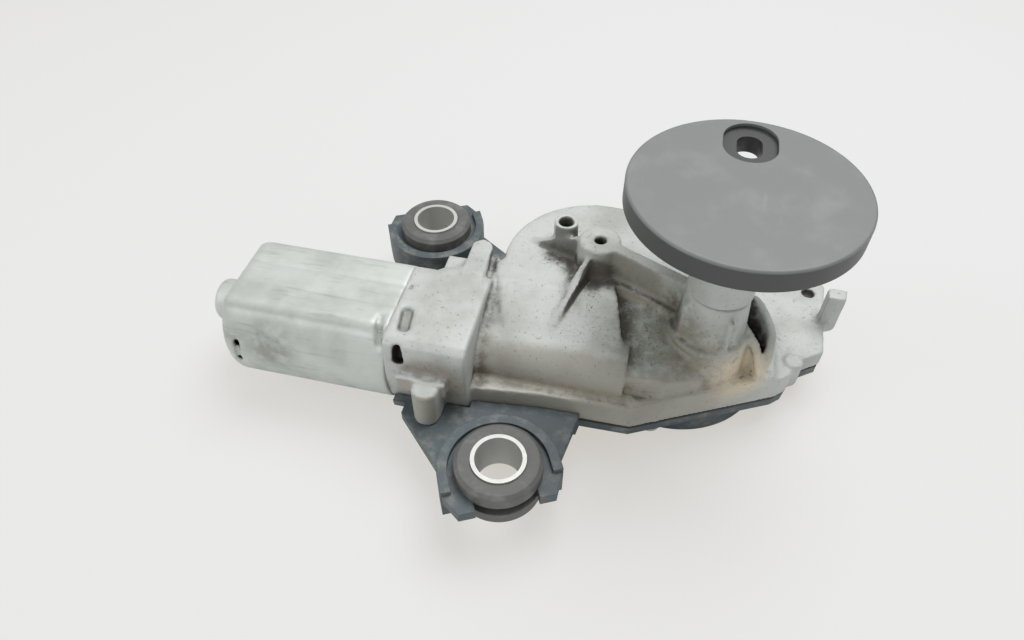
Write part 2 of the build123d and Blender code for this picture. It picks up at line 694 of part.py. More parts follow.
def build_ear():
    """Fork with a raised rim, in its own frame with the mouth towards +X."""
    outer = Circle(EAR_RADIUS) & Pos(-EAR_RADIUS, 0) * Rectangle(2 * EAR_RADIUS, 2 * EAR_RADIUS)
    inner = EAR_RADIUS - EAR_RIM
    rim_plan = outer + Pos(RIM_ARM / 2, 0) * Rectangle(RIM_ARM, 2 * EAR_RADIUS)
    rim_hole = Circle(inner) + Pos(EAR_RADIUS / 2, 0) * Rectangle(EAR_RADIUS, 2 * inner)
    tips = Polyline((0, EAR_RADIUS), (RIM_ARM, EAR_RADIUS - 0.3), (WEB_ARM, EAR_RADIUS - 4.0),
                    (WEB_ARM, 4.0 - EAR_RADIUS), (RIM_ARM, 0.3 - EAR_RADIUS), (0, -EAR_RADIUS), close=True)
    web_plan = outer + make_face(tips)
    mouth = WAIST_RADIUS + FIXED_GAP
    web_hole = Circle(mouth) + Pos(EAR_RADIUS / 2, 0) * Rectangle(EAR_RADIUS, 2 * mouth)
    rim = slab(rim_plan - rim_hole, EAR_BOTTOM, EAR_TOP)
    web = slab(web_plan - web_hole, EAR_WEB_TOP - EAR_WEB, EAR_WEB_TOP)
    return rim + web


def build_cover():
    """Moulded cover: plate under the housing, drum, neck saddle, two ears and a plug socket."""
    near_skirt = plan(-LOOSE_GAP)
    body = slab(plan(COVER_INSET), COVER_BOTTOM, SEAL_BOTTOM)
    body += post(DRUM_RADIUS, COVER_BOTTOM - DRUM_DEPTH, COVER_BOTTOM, DRUM_PLACE)
    drum_edge = body.faces().sort_by(Axis.Z)[0].edges()
    body = fillet(drum_edge, DRUM_WALL)
    body -= post(DRUM_RADIUS - DRUM_WALL, COVER_BOTTOM - DRUM_DEPTH + DRUM_WALL, SEAL_BOTTOM, DRUM_PLACE)
    saddle = along(neck_section(LOOSE_GAP + SADDLE_WALL), NECK_START + 2, NECK_END + LOOSE_GAP + SADDLE_WALL)
    lower_half = Pos(NECK_END, MOTOR_Y) * Rectangle(4 * DRUM_RADIUS, 4 * DRUM_RADIUS)
    body += saddle & slab(lower_half, COVER_BOTTOM - DRUM_DEPTH, EAR_PLATE_TOP)
    front = area(FRONT_PLATE_PLAN)
    rear = area(REAR_PLATE_PLAN)
    body += slab(front + rear, EAR_PLATE_TOP - EAR_PLATE, EAR_PLATE_TOP)
    skirting = (plan(-LOOSE_GAP - SADDLE_WALL) - near_skirt) & (front + rear)
    body += slab(skirting, COVER_BOTTOM, EAR_PLATE_TOP)
    body += slab(plan(-LOOSE_GAP - SADDLE_WALL) & (front + rear), COVER_BOTTOM, SEAL_BOTTOM)
    body -= slab(near_skirt, SEAL_BOTTOM, EAR_PLATE_TOP)
    body -= along(neck_section(LOOSE_GAP), NECK_START - SADDLE_CUT, NECK_END + LOOSE_GAP)
    for place in SKIRT_SCREWS:
        body -= post(SCREW_RADIUS + FIXED_GAP, COVER_BOTTOM, SEAL_BOTTOM, place)
        body -= post(SCREW_HEAD_RADIUS + RUNNING_GAP, COVER_BOTTOM - DRUM_DEPTH, COVER_BOTTOM, place)
    plate_seat = EAR_PLATE_TOP - EAR_PLATE
    for place in (FRONT_BOSS, REAR_BOSS):
        body -= post(SCREW_RADIUS + FIXED_GAP, plate_seat, EAR_PLATE_TOP, place)
        body -= post(SCREW_HEAD_RADIUS + AXIAL_GAP, COVER_BOTTOM - DRUM_DEPTH, plate_seat, place)
    standoff_foot = COVER_BOTTOM - DRUM_DEPTH + DRUM_WALL - STANDOFF_ROOT
    for place in STANDOFFS:
        body += post(STANDOFF_RADIUS, standoff_foot, BOARD_BOTTOM - FIXED_GAP, place)
    body -= Pos(DRUM_PLACE[0], SOCKET_BACK, PIN_LEVEL) * Box(PIN_COUNT * PIN_SPACING, SOCKET_BACK, 2.0)
    for centre, heading in ((FRONT_EAR, EAR_HEADING), (REAR_EAR, EAR_HEADING + 180)):
        body -= post(EAR_RADIUS - EAR_RIM, EAR_BOTTOM, EAR_TOP, centre)
        body += ear_place(centre, heading) * build_ear()
    return body


def build_seal():
    """Flat rubber seal between the housing and the cover."""
    face = plan(COVER_INSET) - plan(COVER_INSET + SEAL_WIDTH)
    neck = along(neck_section(LOOSE_GAP), NECK_START, NECK_END + LOOSE_GAP)
    seal = slab(face, SEAL_BOTTOM + FIXED_GAP, HOUSING_BOTTOM - FIXED_GAP) - neck
    for place in SKIRT_SCREWS:
        seal -= post(SCREW_RADIUS + FIXED_GAP, SEAL_BOTTOM, HOUSING_BOTTOM, place)
    return seal


def build_screw(place, top, seat):
    """Pan-head screw driven upwards from a seat to a height in the housing."""
    socket = Plane(origin=(place[0], place[1], seat - SCREW_HEAD)) * RegularPolygon(SCREW_RADIUS, 6)
    shank = post(SCREW_RADIUS, seat - FIXED_GAP - 0.5, top, place)
    head = post(SCREW_HEAD_RADIUS, seat - SCREW_HEAD, seat - FIXED_GAP, place)
    return shank + head - extrude(socket, SCREW_HEAD - 1)


def build_screws():
    """Five screws of the cover and the two that hold the ear plates to the neck."""
    screws = [build_screw(place, HOUSING_BOTTOM + COVER_SCREW - 1, COVER_BOTTOM) for place in SKIRT_SCREWS]
    for place in (FRONT_BOSS, REAR_BOSS):
        screws.append(build_screw(place, EAR_PLATE_TOP + SCREW_LENGTH - 1, EAR_PLATE_TOP - EAR_PLATE))
    return Compound(children=screws)


# ================================================================ motor
def build_can():
    """Drawn steel can with a bearing boss at its closed end."""
    outer = along(can_section(0), CAN_START, NECK_START)
    outer = fillet(outer.faces().sort_by(Axis.X)[0].edges(), CAN_CORNER)
    outer += bar(CAN_BOSS_RADIUS, CAN_START - CAN_BOSS_LENGTH, CAN_START + CAN_WALL)
    outer = fillet(outer.faces().sort_by(Axis.X)[0].edges(), CAN_WALL)
    outer -= along(can_section(CAN_WALL), CAN_START + CAN_WALL, NECK_START)
    return outer - bar(BEARING_RADIUS, CAN_START - CAN_BOSS_LENGTH + CAN_WALL, CAN_START + CAN_WALL)


def build_magnets():
    """Two arc magnets glued to the round sides of the can."""
    sector = Polyline((0, 0), around(MIDDLE, 2 * CAN_RADIUS, MAGNET_SPREAD / 2),
                      around(MIDDLE, 2 * CAN_RADIUS, -MAGNET_SPREAD / 2), close=True)
    arc = (Circle(MAGNET_OUTER) - Circle(MAGNET_INNER)) & make_face(sector)
    room = Rectangle(2 * CAN_RADIUS, CAN_FLAT_HEIGHT - 2 * CAN_WALL - 2 * FIXED_GAP)
    pair = (arc + Rot(0, 0, 180) * arc) & room
    return along(motor_plane() * pair, MAGNET_START, MAGNET_END)


def build_shaft_and_worm():
    """Armature shaft with the right-hand worm rolled into it."""
    shaft = bar(ARMATURE_SHAFT, SHAFT_START, BALL_SEAT - RUNNING_GAP)
    shaft += bar(WORM_ROOT_RADIUS, WORM_START - WORM_RUNOUT, WORM_STOP + WORM_RUNOUT)
    root = WORM_ROOT_RADIUS - 0.3
    tip = WORM_PITCH_RADIUS + ADDENDUM
    root_half = TOOTH_WIDTH / 2 + (WORM_PITCH_RADIUS - root) * TOOTH_SLOPE
    tip_half = TOOTH_WIDTH / 2 - ADDENDUM * TOOTH_SLOPE
    section = Plane.XZ * make_face(
        Polyline((root, -root_half), (tip, -tip_half), (tip, tip_half), (root, root_half), close=True))
    path = Helix(TOOTH_PITCH, TOOTH_PITCH * WORM_TURNS, WORM_PITCH_RADIUS)
    thread = sweep(section, path=path, is_frenet=True)
    place = Plane(origin=(WORM_START, MOTOR_Y, MOTOR_Z), x_dir=(0, 1, 0), z_dir=(1, 0, 0))
    return shaft + place * thread


def spokes(count, face):
    """Copies of a sketch turned evenly about the motor axis."""
    return [Rot(0, 0, 360 / count * k) * face for k in range(count)]


def slot_sketch(clearance):
    """One armature slot, open at the rim, made smaller by a clearance."""
    middle = (SLOT_INNER + SLOT_OUTER) / 2
    width = SLOT_WIDE - 2 * clearance
    return Pos(middle, 0) * Rectangle(SLOT_OUTER - SLOT_INNER - 2 * clearance, width)


def build_core():
    """Slotted iron core of the armature."""
    mouth = Pos(SLOT_OUTER, 0) * Rectangle(2 * (CORE_RADIUS - SLOT_OUTER) + 1, SLOT_MOUTH)
    face = Circle(CORE_RADIUS) - Circle(ARMATURE_SHAFT + FIXED_GAP)
    face -= spokes(CORE_SLOTS, slot_sketch(0) + mouth)
    return along(motor_plane() * face, CORE_START, CORE_END)


def build_windings():
    """Copper coils in the slots with a bundle at each end of the core."""
    bars = Sketch() + spokes(CORE_SLOTS, slot_sketch(FIXED_GAP))
    coil = along(motor_plane() * bars, CORE_START - 1, CORE_END + 1)
    coil += sleeve(WINDING_OUTER, WINDING_INNER, CORE_START - WINDING_OVERHANG, CORE_START - FIXED_GAP)
    coil += sleeve(WINDING_OUTER, WINDING_INNER, CORE_END + FIXED_GAP, CORE_END + WINDING_OVERHANG)
    return coil


def build_commutator():
    """Copper bars round the armature shaft."""
    face = Circle(COMMUTATOR_RADIUS) - Circle(ARMATURE_SHAFT + FIXED_GAP)
    groove = Pos(COMMUTATOR_RADIUS, 0) * Rectangle(2.4, BAR_GAP)
    return along(motor_plane() * (face - spokes(COMMUTATOR_BARS, groove)), COMMUTATOR_START, COMMUTATOR_END)


def build_can_bearing():
    """Plain bearing in the boss of the can."""
    start = CAN_START + CAN_WALL - CAN_BEARING
    return sleeve(BEARING_RADIUS - FIXED_GAP, ARMATURE_SHAFT + RUNNING_GAP, start, CAN_START + CAN_WALL)


def build_retainer():
    """Spring washer that keeps the bearing in the can."""
    start = CAN_START + CAN_WALL + FIXED_GAP
    return sleeve(RETAINER_RADIUS, ARMATURE_SHAFT + LOOSE_GAP, start, start + RETAINER)


def build_neck_bearing():
    """Plain bearing in the wall of the neck."""
    return sleeve(BEARING_RADIUS, ARMATURE_SHAFT + RUNNING_GAP, NECK_BORE_END, NECK_BORE_END + BEARING_WIDTH)


def build_worm_bush():
    """Cup-shaped bush at the free end of the worm."""
    bush = bar(TUNNEL_BORE - FIXED_GAP, WORM_END - WORM_BUSH_LENGTH, WORM_END - FIXED_GAP)
    return bush - bar(ARMATURE_SHAFT + RUNNING_GAP, WORM_END - WORM_BUSH_LENGTH, CUP_FLOOR)


def build_ball():
    """Steel ball that takes the end thrust of the worm."""
    return Pos(CUP_FLOOR - BALL_RADIUS - FIXED_GAP, MOTOR_Y, MOTOR_Z) * Sphere(BALL_RADIUS)


def at_brush(side):
    """Frame of one brush, with Z pointing away from the commutator."""
    return Plane(origin=(BRUSH_X, MOTOR_Y, MOTOR_Z), x_dir=(1, 0, 0), z_dir=(0, side, 0))


def build_brush_plate():
    """Moulded ring with a box for each brush."""
    plate_end = BRUSH_PLATE_START + BRUSH_PLATE
    plate = sleeve(NECK_BORE - FIXED_GAP, BRUSH_PLATE_BORE, BRUSH_PLATE_START, plate_end)
    for side in (-1, 1):
        block = Pos(1.5, 0, (BRUSH_PLATE_BORE + BRUSH_REACH) / 2) * Box(
            BRUSH_WIDTH + 2 * BRUSH_BOX + 3, BRUSH_HEIGHT + 2 * BRUSH_BOX, BRUSH_REACH - BRUSH_PLATE_BORE)
        way = Pos(0, 0, BRUSH_REACH / 2) * Box(
            BRUSH_WIDTH + 2 * FIXED_GAP, BRUSH_HEIGHT + 2 * FIXED_GAP, BRUSH_REACH - 2 * BRUSH_BOX)
        plate += at_brush(side) * block
        plate -= at_brush(side) * way
    return plate


def build_brushes():
    """Two carbon brushes that ride on the commutator."""
    tips = bar(COMMUTATOR_RADIUS + RUNNING_GAP, COMMUTATOR_START - 1, COMMUTATOR_END + 1)
    blanks = []
    for side in (-1, 1):
        length = BRUSH_LENGTH + 1
        blank = Pos(0, 0, COMMUTATOR_RADIUS + length / 2 - 1) * Box(BRUSH_WIDTH, BRUSH_HEIGHT, length)
        blanks.append(at_brush(side) * blank - tips)
    return Compound(children=blanks)


def build_brush_springs():
    """Coil springs that push the brushes inwards."""
    start = COMMUTATOR_RADIUS + BRUSH_LENGTH + SPRING_WIRE + FIXED_GAP
    length = BRUSH_REACH - BRUSH_BOX - start - SPRING_WIRE - FIXED_GAP
    path = Helix(length / SPRING_TURNS, length, SPRING_RADIUS)
    wire = Plane(origin=path @ 0, z_dir=path % 0) * Circle(SPRING_WIRE)
    coil = Pos(0, 0, start) * sweep(wire, path=path, is_frenet=True)
    return Compound(children=[at_brush(side) * coil for side in (-1, 1)])


# ================================================================ gear and crank drive
def build_wheel():
    """Worm wheel with slanted teeth, a thin web and a hub."""
    root = WHEEL_PITCH_RADIUS - DEDENDUM
    tip = WHEEL_PITCH_RADIUS + ADDENDUM
    wheel = ring(root, root - WHEEL_RIM, WHEEL_BOTTOM, WHEEL_TOP)
    wheel += ring(root - 1, WHEEL_HUB_RADIUS - 1, MOTOR_Z - WHEEL_WEB / 2, MOTOR_Z + WHEEL_WEB / 2)
    wheel += post(WHEEL_HUB_RADIUS, WHEEL_HUB_BOTTOM, WHEEL_HUB_TOP)
    crank_place = around(MIDDLE, CRANK_RADIUS, CRANK_ANGLE)
    wheel += ring(CRANK_SEAT_RADIUS, PIN_RADIUS, WHEEL_BOTTOM, WHEEL_TOP, crank_place)
    inner_half = TOOTH_WIDTH / 2 + (DEDENDUM + 0.4) * TOOTH_SLOPE
    tip_half = TOOTH_WIDTH / 2 - ADDENDUM * TOOTH_SLOPE
    slant = WHEEL_FACE / 2 * TOOTH_PITCH / (2 * math.pi * WORM_PITCH_RADIUS)
    blank = make_face(Polyline((-inner_half, 0.4 - root), (-tip_half, -tip), (tip_half, -tip),
                               (inner_half, 0.4 - root), close=True))
    tooth = loft([Pos(-slant, 0, WHEEL_BOTTOM) * blank, Pos(slant, 0, WHEEL_TOP) * blank], ruled=True)
    step = 360 / WHEEL_TEETH
    wheel += [Rot(0, 0, step * (k + 0.5)) * tooth for k in range(WHEEL_TEETH)]
    wheel -= post(WHEEL_PIN_RADIUS + RUNNING_GAP, WHEEL_HUB_BOTTOM, WHEEL_HUB_TOP)
    wheel -= post(PIN_RADIUS + FIXED_GAP, WHEEL_BOTTOM, WHEEL_TOP, crank_place)
    return Pos(WHEEL_X, WHEEL_Y, 0) * wheel


def build_wheel_pin():
    """Fixed pin the worm wheel turns on, grooved for its clip."""
    pin = post(WHEEL_PIN_RADIUS, PIN_END, WHEEL_PIN_TOP, WHEEL_AXIS)
    clip_top = CLIP_BOTTOM + CLIP
    return pin - ring(WHEEL_PIN_RADIUS, WHEEL_PIN_RADIUS - CLIP_DEPTH, CLIP_BOTTOM, clip_top, WHEEL_AXIS)


def build_wheel_clip():
    """Spring clip that keeps the worm wheel on its pin."""
    inner = WHEEL_PIN_RADIUS - CLIP_DEPTH + FIXED_GAP
    clip = ring(CLIP_RADIUS, inner, CLIP_BOTTOM + FIXED_GAP, CLIP_BOTTOM + CLIP - FIXED_GAP, WHEEL_AXIS)
    return clip - Pos(WHEEL_X, WHEEL_Y - CLIP_RADIUS, CLIP_BOTTOM) * Box(3, 2 * CLIP_RADIUS - 2, 3)


def build_crank_pin():
    """Pin pressed into the worm wheel off its centre."""
    return post(PIN_RADIUS, PIN_END, WHEEL_TOP, CRANK_PIN)


def rod(start, end, width, low, high):
    """Flat bar with round ends at two points."""
    plan_shape = strip(start, end, width)
    for place in (start, end):
        plan_shape += Pos(place[0], place[1]) * Circle(EYE_RADIUS)
    return slab(plan_shape, low, high)


def build_link():
    """Drive link from the crank pin to the lever."""
    link = rod(CRANK_PIN, LEVER_PIN, LINK_WIDTH, LINK_BOTTOM, LINK_TOP)
    for place in (CRANK_PIN, LEVER_PIN):
        link -= post(PIN_RADIUS + RUNNING_GAP, LINK_BOTTOM, LINK_TOP, place)
    return link


def build_lever():
    """Lever pressed on the lower end of the output shaft."""
    lever = rod(MIDDLE, LEVER_PIN, LINK_WIDTH, LEVER_BOTTOM, LEVER_TOP)
    lever += post(LEVER_HUB_RADIUS, LEVER_BOTTOM, LEVER_TOP)
    lever -= post(SHAFT_RADIUS + FIXED_GAP, LEVER_BOTTOM, LEVER_TOP)
    return lever - post(PIN_RADIUS + FIXED_GAP, LEVER_BOTTOM, LEVER_TOP, LEVER_PIN)


def build_lever_pin():
    """Headed pin that joins the link to the lever."""
    head_top = LINK_BOTTOM - AXIAL_GAP
    pin = post(PIN_RADIUS, head_top - PIN_HEAD, LEVER_TOP, LEVER_PIN)
    return pin + post(PIN_RADIUS + 1.4, head_top - PIN_HEAD, head_top, LEVER_PIN)


# ================================================================ output
def build_output_shaft():
    """Steel output shaft, chamfered at its lower end."""
    shaft = post(SHAFT_RADIUS, SHAFT_BOTTOM, SHAFT_TOP)
    return chamfer(shaft.faces().sort_by(Axis.Z)[0].edges(), 0.6)


def build_bush(low, high):
    """Sintered bush pressed into the column."""
    return ring(BUSH_RADIUS, SHAFT_RADIUS + RUNNING_GAP, low, high)


def build_shaft_seal():
    """Lip seal at the top of the column."""
    top = COLUMN_TOP - 0.3
    return ring(BUSH_RADIUS, SHAFT_RADIUS + RUNNING_GAP, top - SEAL_RING, top)


def build_thrust_washer():
    """Washer between the lever and the column."""
    top = SHAFT_BOSS_BOTTOM - FIXED_GAP
    return ring(WASHER_RADIUS, SHAFT_RADIUS + AXIAL_GAP, top - WASHER, top)


def build_disc_hub():
    """Metal collar that carries the coupling disc."""
    hub = post(HUB_RADIUS, HUB_BOTTOM, -DISC_HEIGHT - FIXED_GAP)
    hub = chamfer(hub.faces().sort_by(Axis.Z)[0].edges(), 0.8)
    return hub - post(SHAFT_RADIUS + FIXED_GAP, HUB_BOTTOM, -DISC_HEIGHT)


def build_disc():
    """Moulded coupling disc with its drive slot in a shallow recess."""
    disc = post(DISC_RADIUS, -DISC_HEIGHT, 0)
    disc = fillet(disc.faces().sort_by(Axis.Z)[-1].edges(), DISC_EDGE)
    disc -= ring(DISC_RADIUS - DISC_RIM, HUB_BOSS_RADIUS, -DISC_HEIGHT, -DISC_PLATE)
    for k in range(RIB_COUNT):
        reach = around(MIDDLE, DISC_RADIUS - DISC_RIM / 2, 360 / RIB_COUNT * k)
        disc += slab(strip(MIDDLE, reach, DISC_RIB), RIB_BOTTOM, -DISC_PLATE)
    pad = RectangleRounded(RECESS_WIDTH, RECESS_LENGTH, RECESS_WIDTH / 2 - 0.1)
    slot = RectangleRounded(SLOT_WIDTH, SLOT_LENGTH, SLOT_WIDTH / 2 - 0.1)
    at_slot = Pos(0, SLOT_PLACE)
    disc += slab(at_slot * pad, -DISC_HEIGHT, -DISC_PLATE)
    disc -= slab(at_slot * pad, -RECESS_DEPTH, 0)
    disc -= slab(at_slot * slot, -DISC_HEIGHT, 0)
    return disc - post(SHAFT_RADIUS + FIXED_GAP, -DISC_HEIGHT, SHAFT_TOP + FIXED_GAP)


# ================================================================ rubber mounts
def build_grommet(centre):
    """Rubber grommet with a groove for the fork of its ear."""
    upper = ring(RUBBER_RADIUS, SLEEVE_RADIUS + FIXED_GAP, EAR_WEB_TOP + FIXED_GAP, RUBBER_TOP, centre)
    upper = chamfer(upper.edges().group_by(Axis.Z)[-1].sort_by(SortBy.LENGTH)[-1], RUBBER_BEVEL)
    groove_low = EAR_WEB_TOP - EAR_WEB - FIXED_GAP
    lower = ring(RUBBER_RADIUS, SLEEVE_RADIUS + FIXED_GAP, RUBBER_BOTTOM, groove_low, centre)
    waist = ring(WAIST_RADIUS, SLEEVE_RADIUS + FIXED_GAP, RUBBER_BOTTOM, RUBBER_TOP - RUBBER_BEVEL, centre)
    return upper + lower + waist


def build_sleeve(centre):
    """Steel sleeve that takes the mounting screw."""
    low = RUBBER_BOTTOM - SLEEVE_STAND
    high = RUBBER_TOP + SLEEVE_STAND
    return ring(SLEEVE_RADIUS, SLEEVE_BORE, low, high, centre)


# ================================================================ connector and board
def build_socket():
    """Plug socket on the side of the cover, open to the rear."""
    middle = (SOCKET_FRONT + SOCKET_BACK) / 2
    centre_z = SOCKET_TOP - SOCKET_HEIGHT / 2
    body = Pos(DRUM_PLACE[0], middle, centre_z) * Box(SOCKET_WIDTH, SOCKET_FRONT - SOCKET_BACK, SOCKET_HEIGHT)
    room = Pos(DRUM_PLACE[0], (SOCKET_FRONT + SOCKET_FLOOR) / 2, centre_z) * Box(
        SOCKET_WIDTH - 2 * SOCKET_WALL, SOCKET_FRONT - SOCKET_FLOOR, SOCKET_HEIGHT - 2 * SOCKET_WALL)
    drum = post(DRUM_RADIUS + FIXED_GAP, SOCKET_TOP - 2 * DRUM_DEPTH, SOCKET_TOP, DRUM_PLACE)
    way = Pos(DRUM_PLACE[0], SOCKET_FLOOR, PIN_LEVEL)
    holes = [way * Pos(x, 0, 0) * Box(PIN_WIDTH + 2 * FIXED_GAP, SOCKET_BACK, PIN_THICKNESS + 2 * FIXED_GAP)
             for x in pin_places()]
    return body - room - drum - holes


def pin_places():
    """Sideways places of the terminal pins about the socket's middle."""
    return [(k - (PIN_COUNT - 1) / 2) * PIN_SPACING for k in range(PIN_COUNT)]


def build_terminals():
    """Brass terminal pins that run from the board into the socket."""
    middle = Pos(DRUM_PLACE[0], (PIN_FRONT + PIN_BACK) / 2, PIN_LEVEL)
    pins = [middle * Pos(x, 0, 0) * Box(PIN_WIDTH, PIN_FRONT - PIN_BACK, PIN_THICKNESS) for x in pin_places()]
    return Compound(children=pins)


def build_board():
    """Circuit board on the four stand-offs of the cover, with its larger components."""
    centre = Pos(BOARD_PLACE[0], BOARD_PLACE[1], 0)
    board = slab(centre * Rectangle(BOARD_LENGTH, BOARD_WIDTH), BOARD_BOTTOM, BOARD_TOP)
    relay = centre * Pos(RELAY_PLACE[0], RELAY_PLACE[1]) * Rectangle(RELAY_LENGTH, RELAY_WIDTH)
    board += slab(relay, BOARD_TOP, BOARD_TOP + RELAY_HEIGHT)
    choke = (BOARD_PLACE[0] + CHOKE_PLACE[0], BOARD_PLACE[1] + CHOKE_PLACE[1])
    return board + post(CHOKE_RADIUS, BOARD_TOP, BOARD_TOP + RELAY_HEIGHT, choke)


# ================================================================ export
PARTS = {
    "gear_housing": build_housing(),
    "base_cover": build_cover(),
    "cover_seal": build_seal(),
    "cover_screws": build_screws(),
    "motor_can": build_can(),
    "field_magnets": build_magnets(),
    "armature_shaft": build_shaft_and_worm(),
    "armature_core": build_core(),
    "armature_windings": build_windings(),
    "commutator": build_commutator(),
    "can_bearing": build_can_bearing(),
    "bearing_retainer": build_retainer(),
    "neck_bearing": build_neck_bearing(),
    "worm_end_bush": build_worm_bush(),
    "thrust_ball": build_ball(),
    "brush_plate": build_brush_plate(),
    "carbon_brushes": build_brushes(),
    "brush_springs": build_brush_springs(),
    "worm_wheel": build_wheel(),
    "wheel_pin": build_wheel_pin(),
    "wheel_clip": build_wheel_clip(),
    "crank_pin": build_crank_pin(),
    "drive_link": build_link(),
    "output_lever": build_lever(),
    "lever_pin": build_lever_pin(),
    "output_shaft": build_output_shaft(),
    "upper_bush": build_bush(UPPER_BUSH_TOP - UPPER_BUSH, UPPER_BUSH_TOP),
    "lower_bush": build_bush(SHAFT_BOSS_BOTTOM, SHAFT_BOSS_BOTTOM + LOWER_BUSH),
    "shaft_seal": build_shaft_seal(),
    "thrust_washer": build_thrust_washer(),
    "disc_hub": build_disc_hub(),
    "coupling_disc": build_disc(),
    "front_grommet": build_grommet(FRONT_EAR),
    "rear_grommet": build_grommet(REAR_EAR),
    "front_sleeve": build_sleeve(FRONT_EAR),
    "rear_sleeve": build_sleeve(REAR_EAR),
    "connector_socket": build_socket(),
    "terminal_pins": build_terminals(),
    "circuit_board": build_board(),
}

os.makedirs("parts", exist_ok=True)
for name, shape in PARTS.items():
    export_step(shape, "parts/" + name + ".step")
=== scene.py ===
import math

import bmesh
import bpy
import numpy as np
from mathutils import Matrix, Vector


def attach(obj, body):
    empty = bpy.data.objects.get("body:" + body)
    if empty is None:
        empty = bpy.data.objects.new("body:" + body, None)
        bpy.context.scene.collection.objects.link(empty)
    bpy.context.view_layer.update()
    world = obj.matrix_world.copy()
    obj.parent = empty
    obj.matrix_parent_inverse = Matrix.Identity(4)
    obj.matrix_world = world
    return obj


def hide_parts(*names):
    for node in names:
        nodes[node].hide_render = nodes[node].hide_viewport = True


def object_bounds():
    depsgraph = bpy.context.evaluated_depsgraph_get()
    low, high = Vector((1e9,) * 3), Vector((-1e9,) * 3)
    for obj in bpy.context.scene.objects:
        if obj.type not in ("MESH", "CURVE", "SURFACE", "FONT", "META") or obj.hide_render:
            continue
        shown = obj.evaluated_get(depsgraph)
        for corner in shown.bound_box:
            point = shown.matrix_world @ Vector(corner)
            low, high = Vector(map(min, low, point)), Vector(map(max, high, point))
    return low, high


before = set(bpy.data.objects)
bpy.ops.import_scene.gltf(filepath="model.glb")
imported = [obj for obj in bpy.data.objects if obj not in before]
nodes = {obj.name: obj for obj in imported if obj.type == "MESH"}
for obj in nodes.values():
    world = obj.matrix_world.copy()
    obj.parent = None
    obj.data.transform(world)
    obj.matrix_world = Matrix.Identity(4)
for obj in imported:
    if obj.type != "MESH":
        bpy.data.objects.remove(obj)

MM = 0.001
cad_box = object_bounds()

# ---------------------------------------------------------------- place on the table
# The unit stands on the round drum of its cover. The camera looks down at it from the
# front, a little from the left, so that the coupling disc is high on the right.
FLOOR = cad_box[0][2]
CAMERA_PLACE = (-24.5 * MM, -177.6 * MM, 127.6 * MM)
CAMERA_TILT = math.radians(42.7)
CAMERA_TURN = math.radians(13.3)
CAMERA_LENS = 26.7

camera_data = bpy.data.cameras.new("camera")
camera_data.lens = CAMERA_LENS
camera_data.clip_start = 0.01
camera = bpy.data.objects.new("camera", camera_data)
camera.location = CAMERA_PLACE
camera.rotation_euler = (CAMERA_TILT, 0, CAMERA_TURN)
bpy.context.scene.collection.objects.link(camera)
bpy.context.scene.camera = camera
bpy.context.scene.view_settings.view_transform = "Standard"


class Value:
    """One shader socket. Arithmetic on it adds Math nodes to its own material."""

    def __init__(self, finish, socket):
        self.finish = finish
        self.socket = socket

    def math(self, operation, *others):
        return self.finish.node("Math", {"operation": operation}, dict(enumerate((self,) + others)))

    def __add__(self, other):
        return self.math("ADD", other)

    def __radd__(self, other):
        return self + other

    def __sub__(self, other):
        return self.math("SUBTRACT", other)

    def __rsub__(self, other):
        return self * -1 + other

    def __mul__(self, other):
        return self.math("MULTIPLY", other)

    def __rmul__(self, other):
        return self * other

    def ramp(self, low, high):
        """0 below low, 1 above high and a smooth rise between; low above high turns it round."""
        settings = {"interpolation_type": "SMOOTHSTEP"}
        if low < high:
            return self.finish.node("MapRange", settings, {0: self, 1: low, 2: high, 3: 0.0, 4: 1.0})
        return self.finish.node("MapRange", settings, {0: self, 1: high, 2: low, 3: 1.0, 4: 0.0})


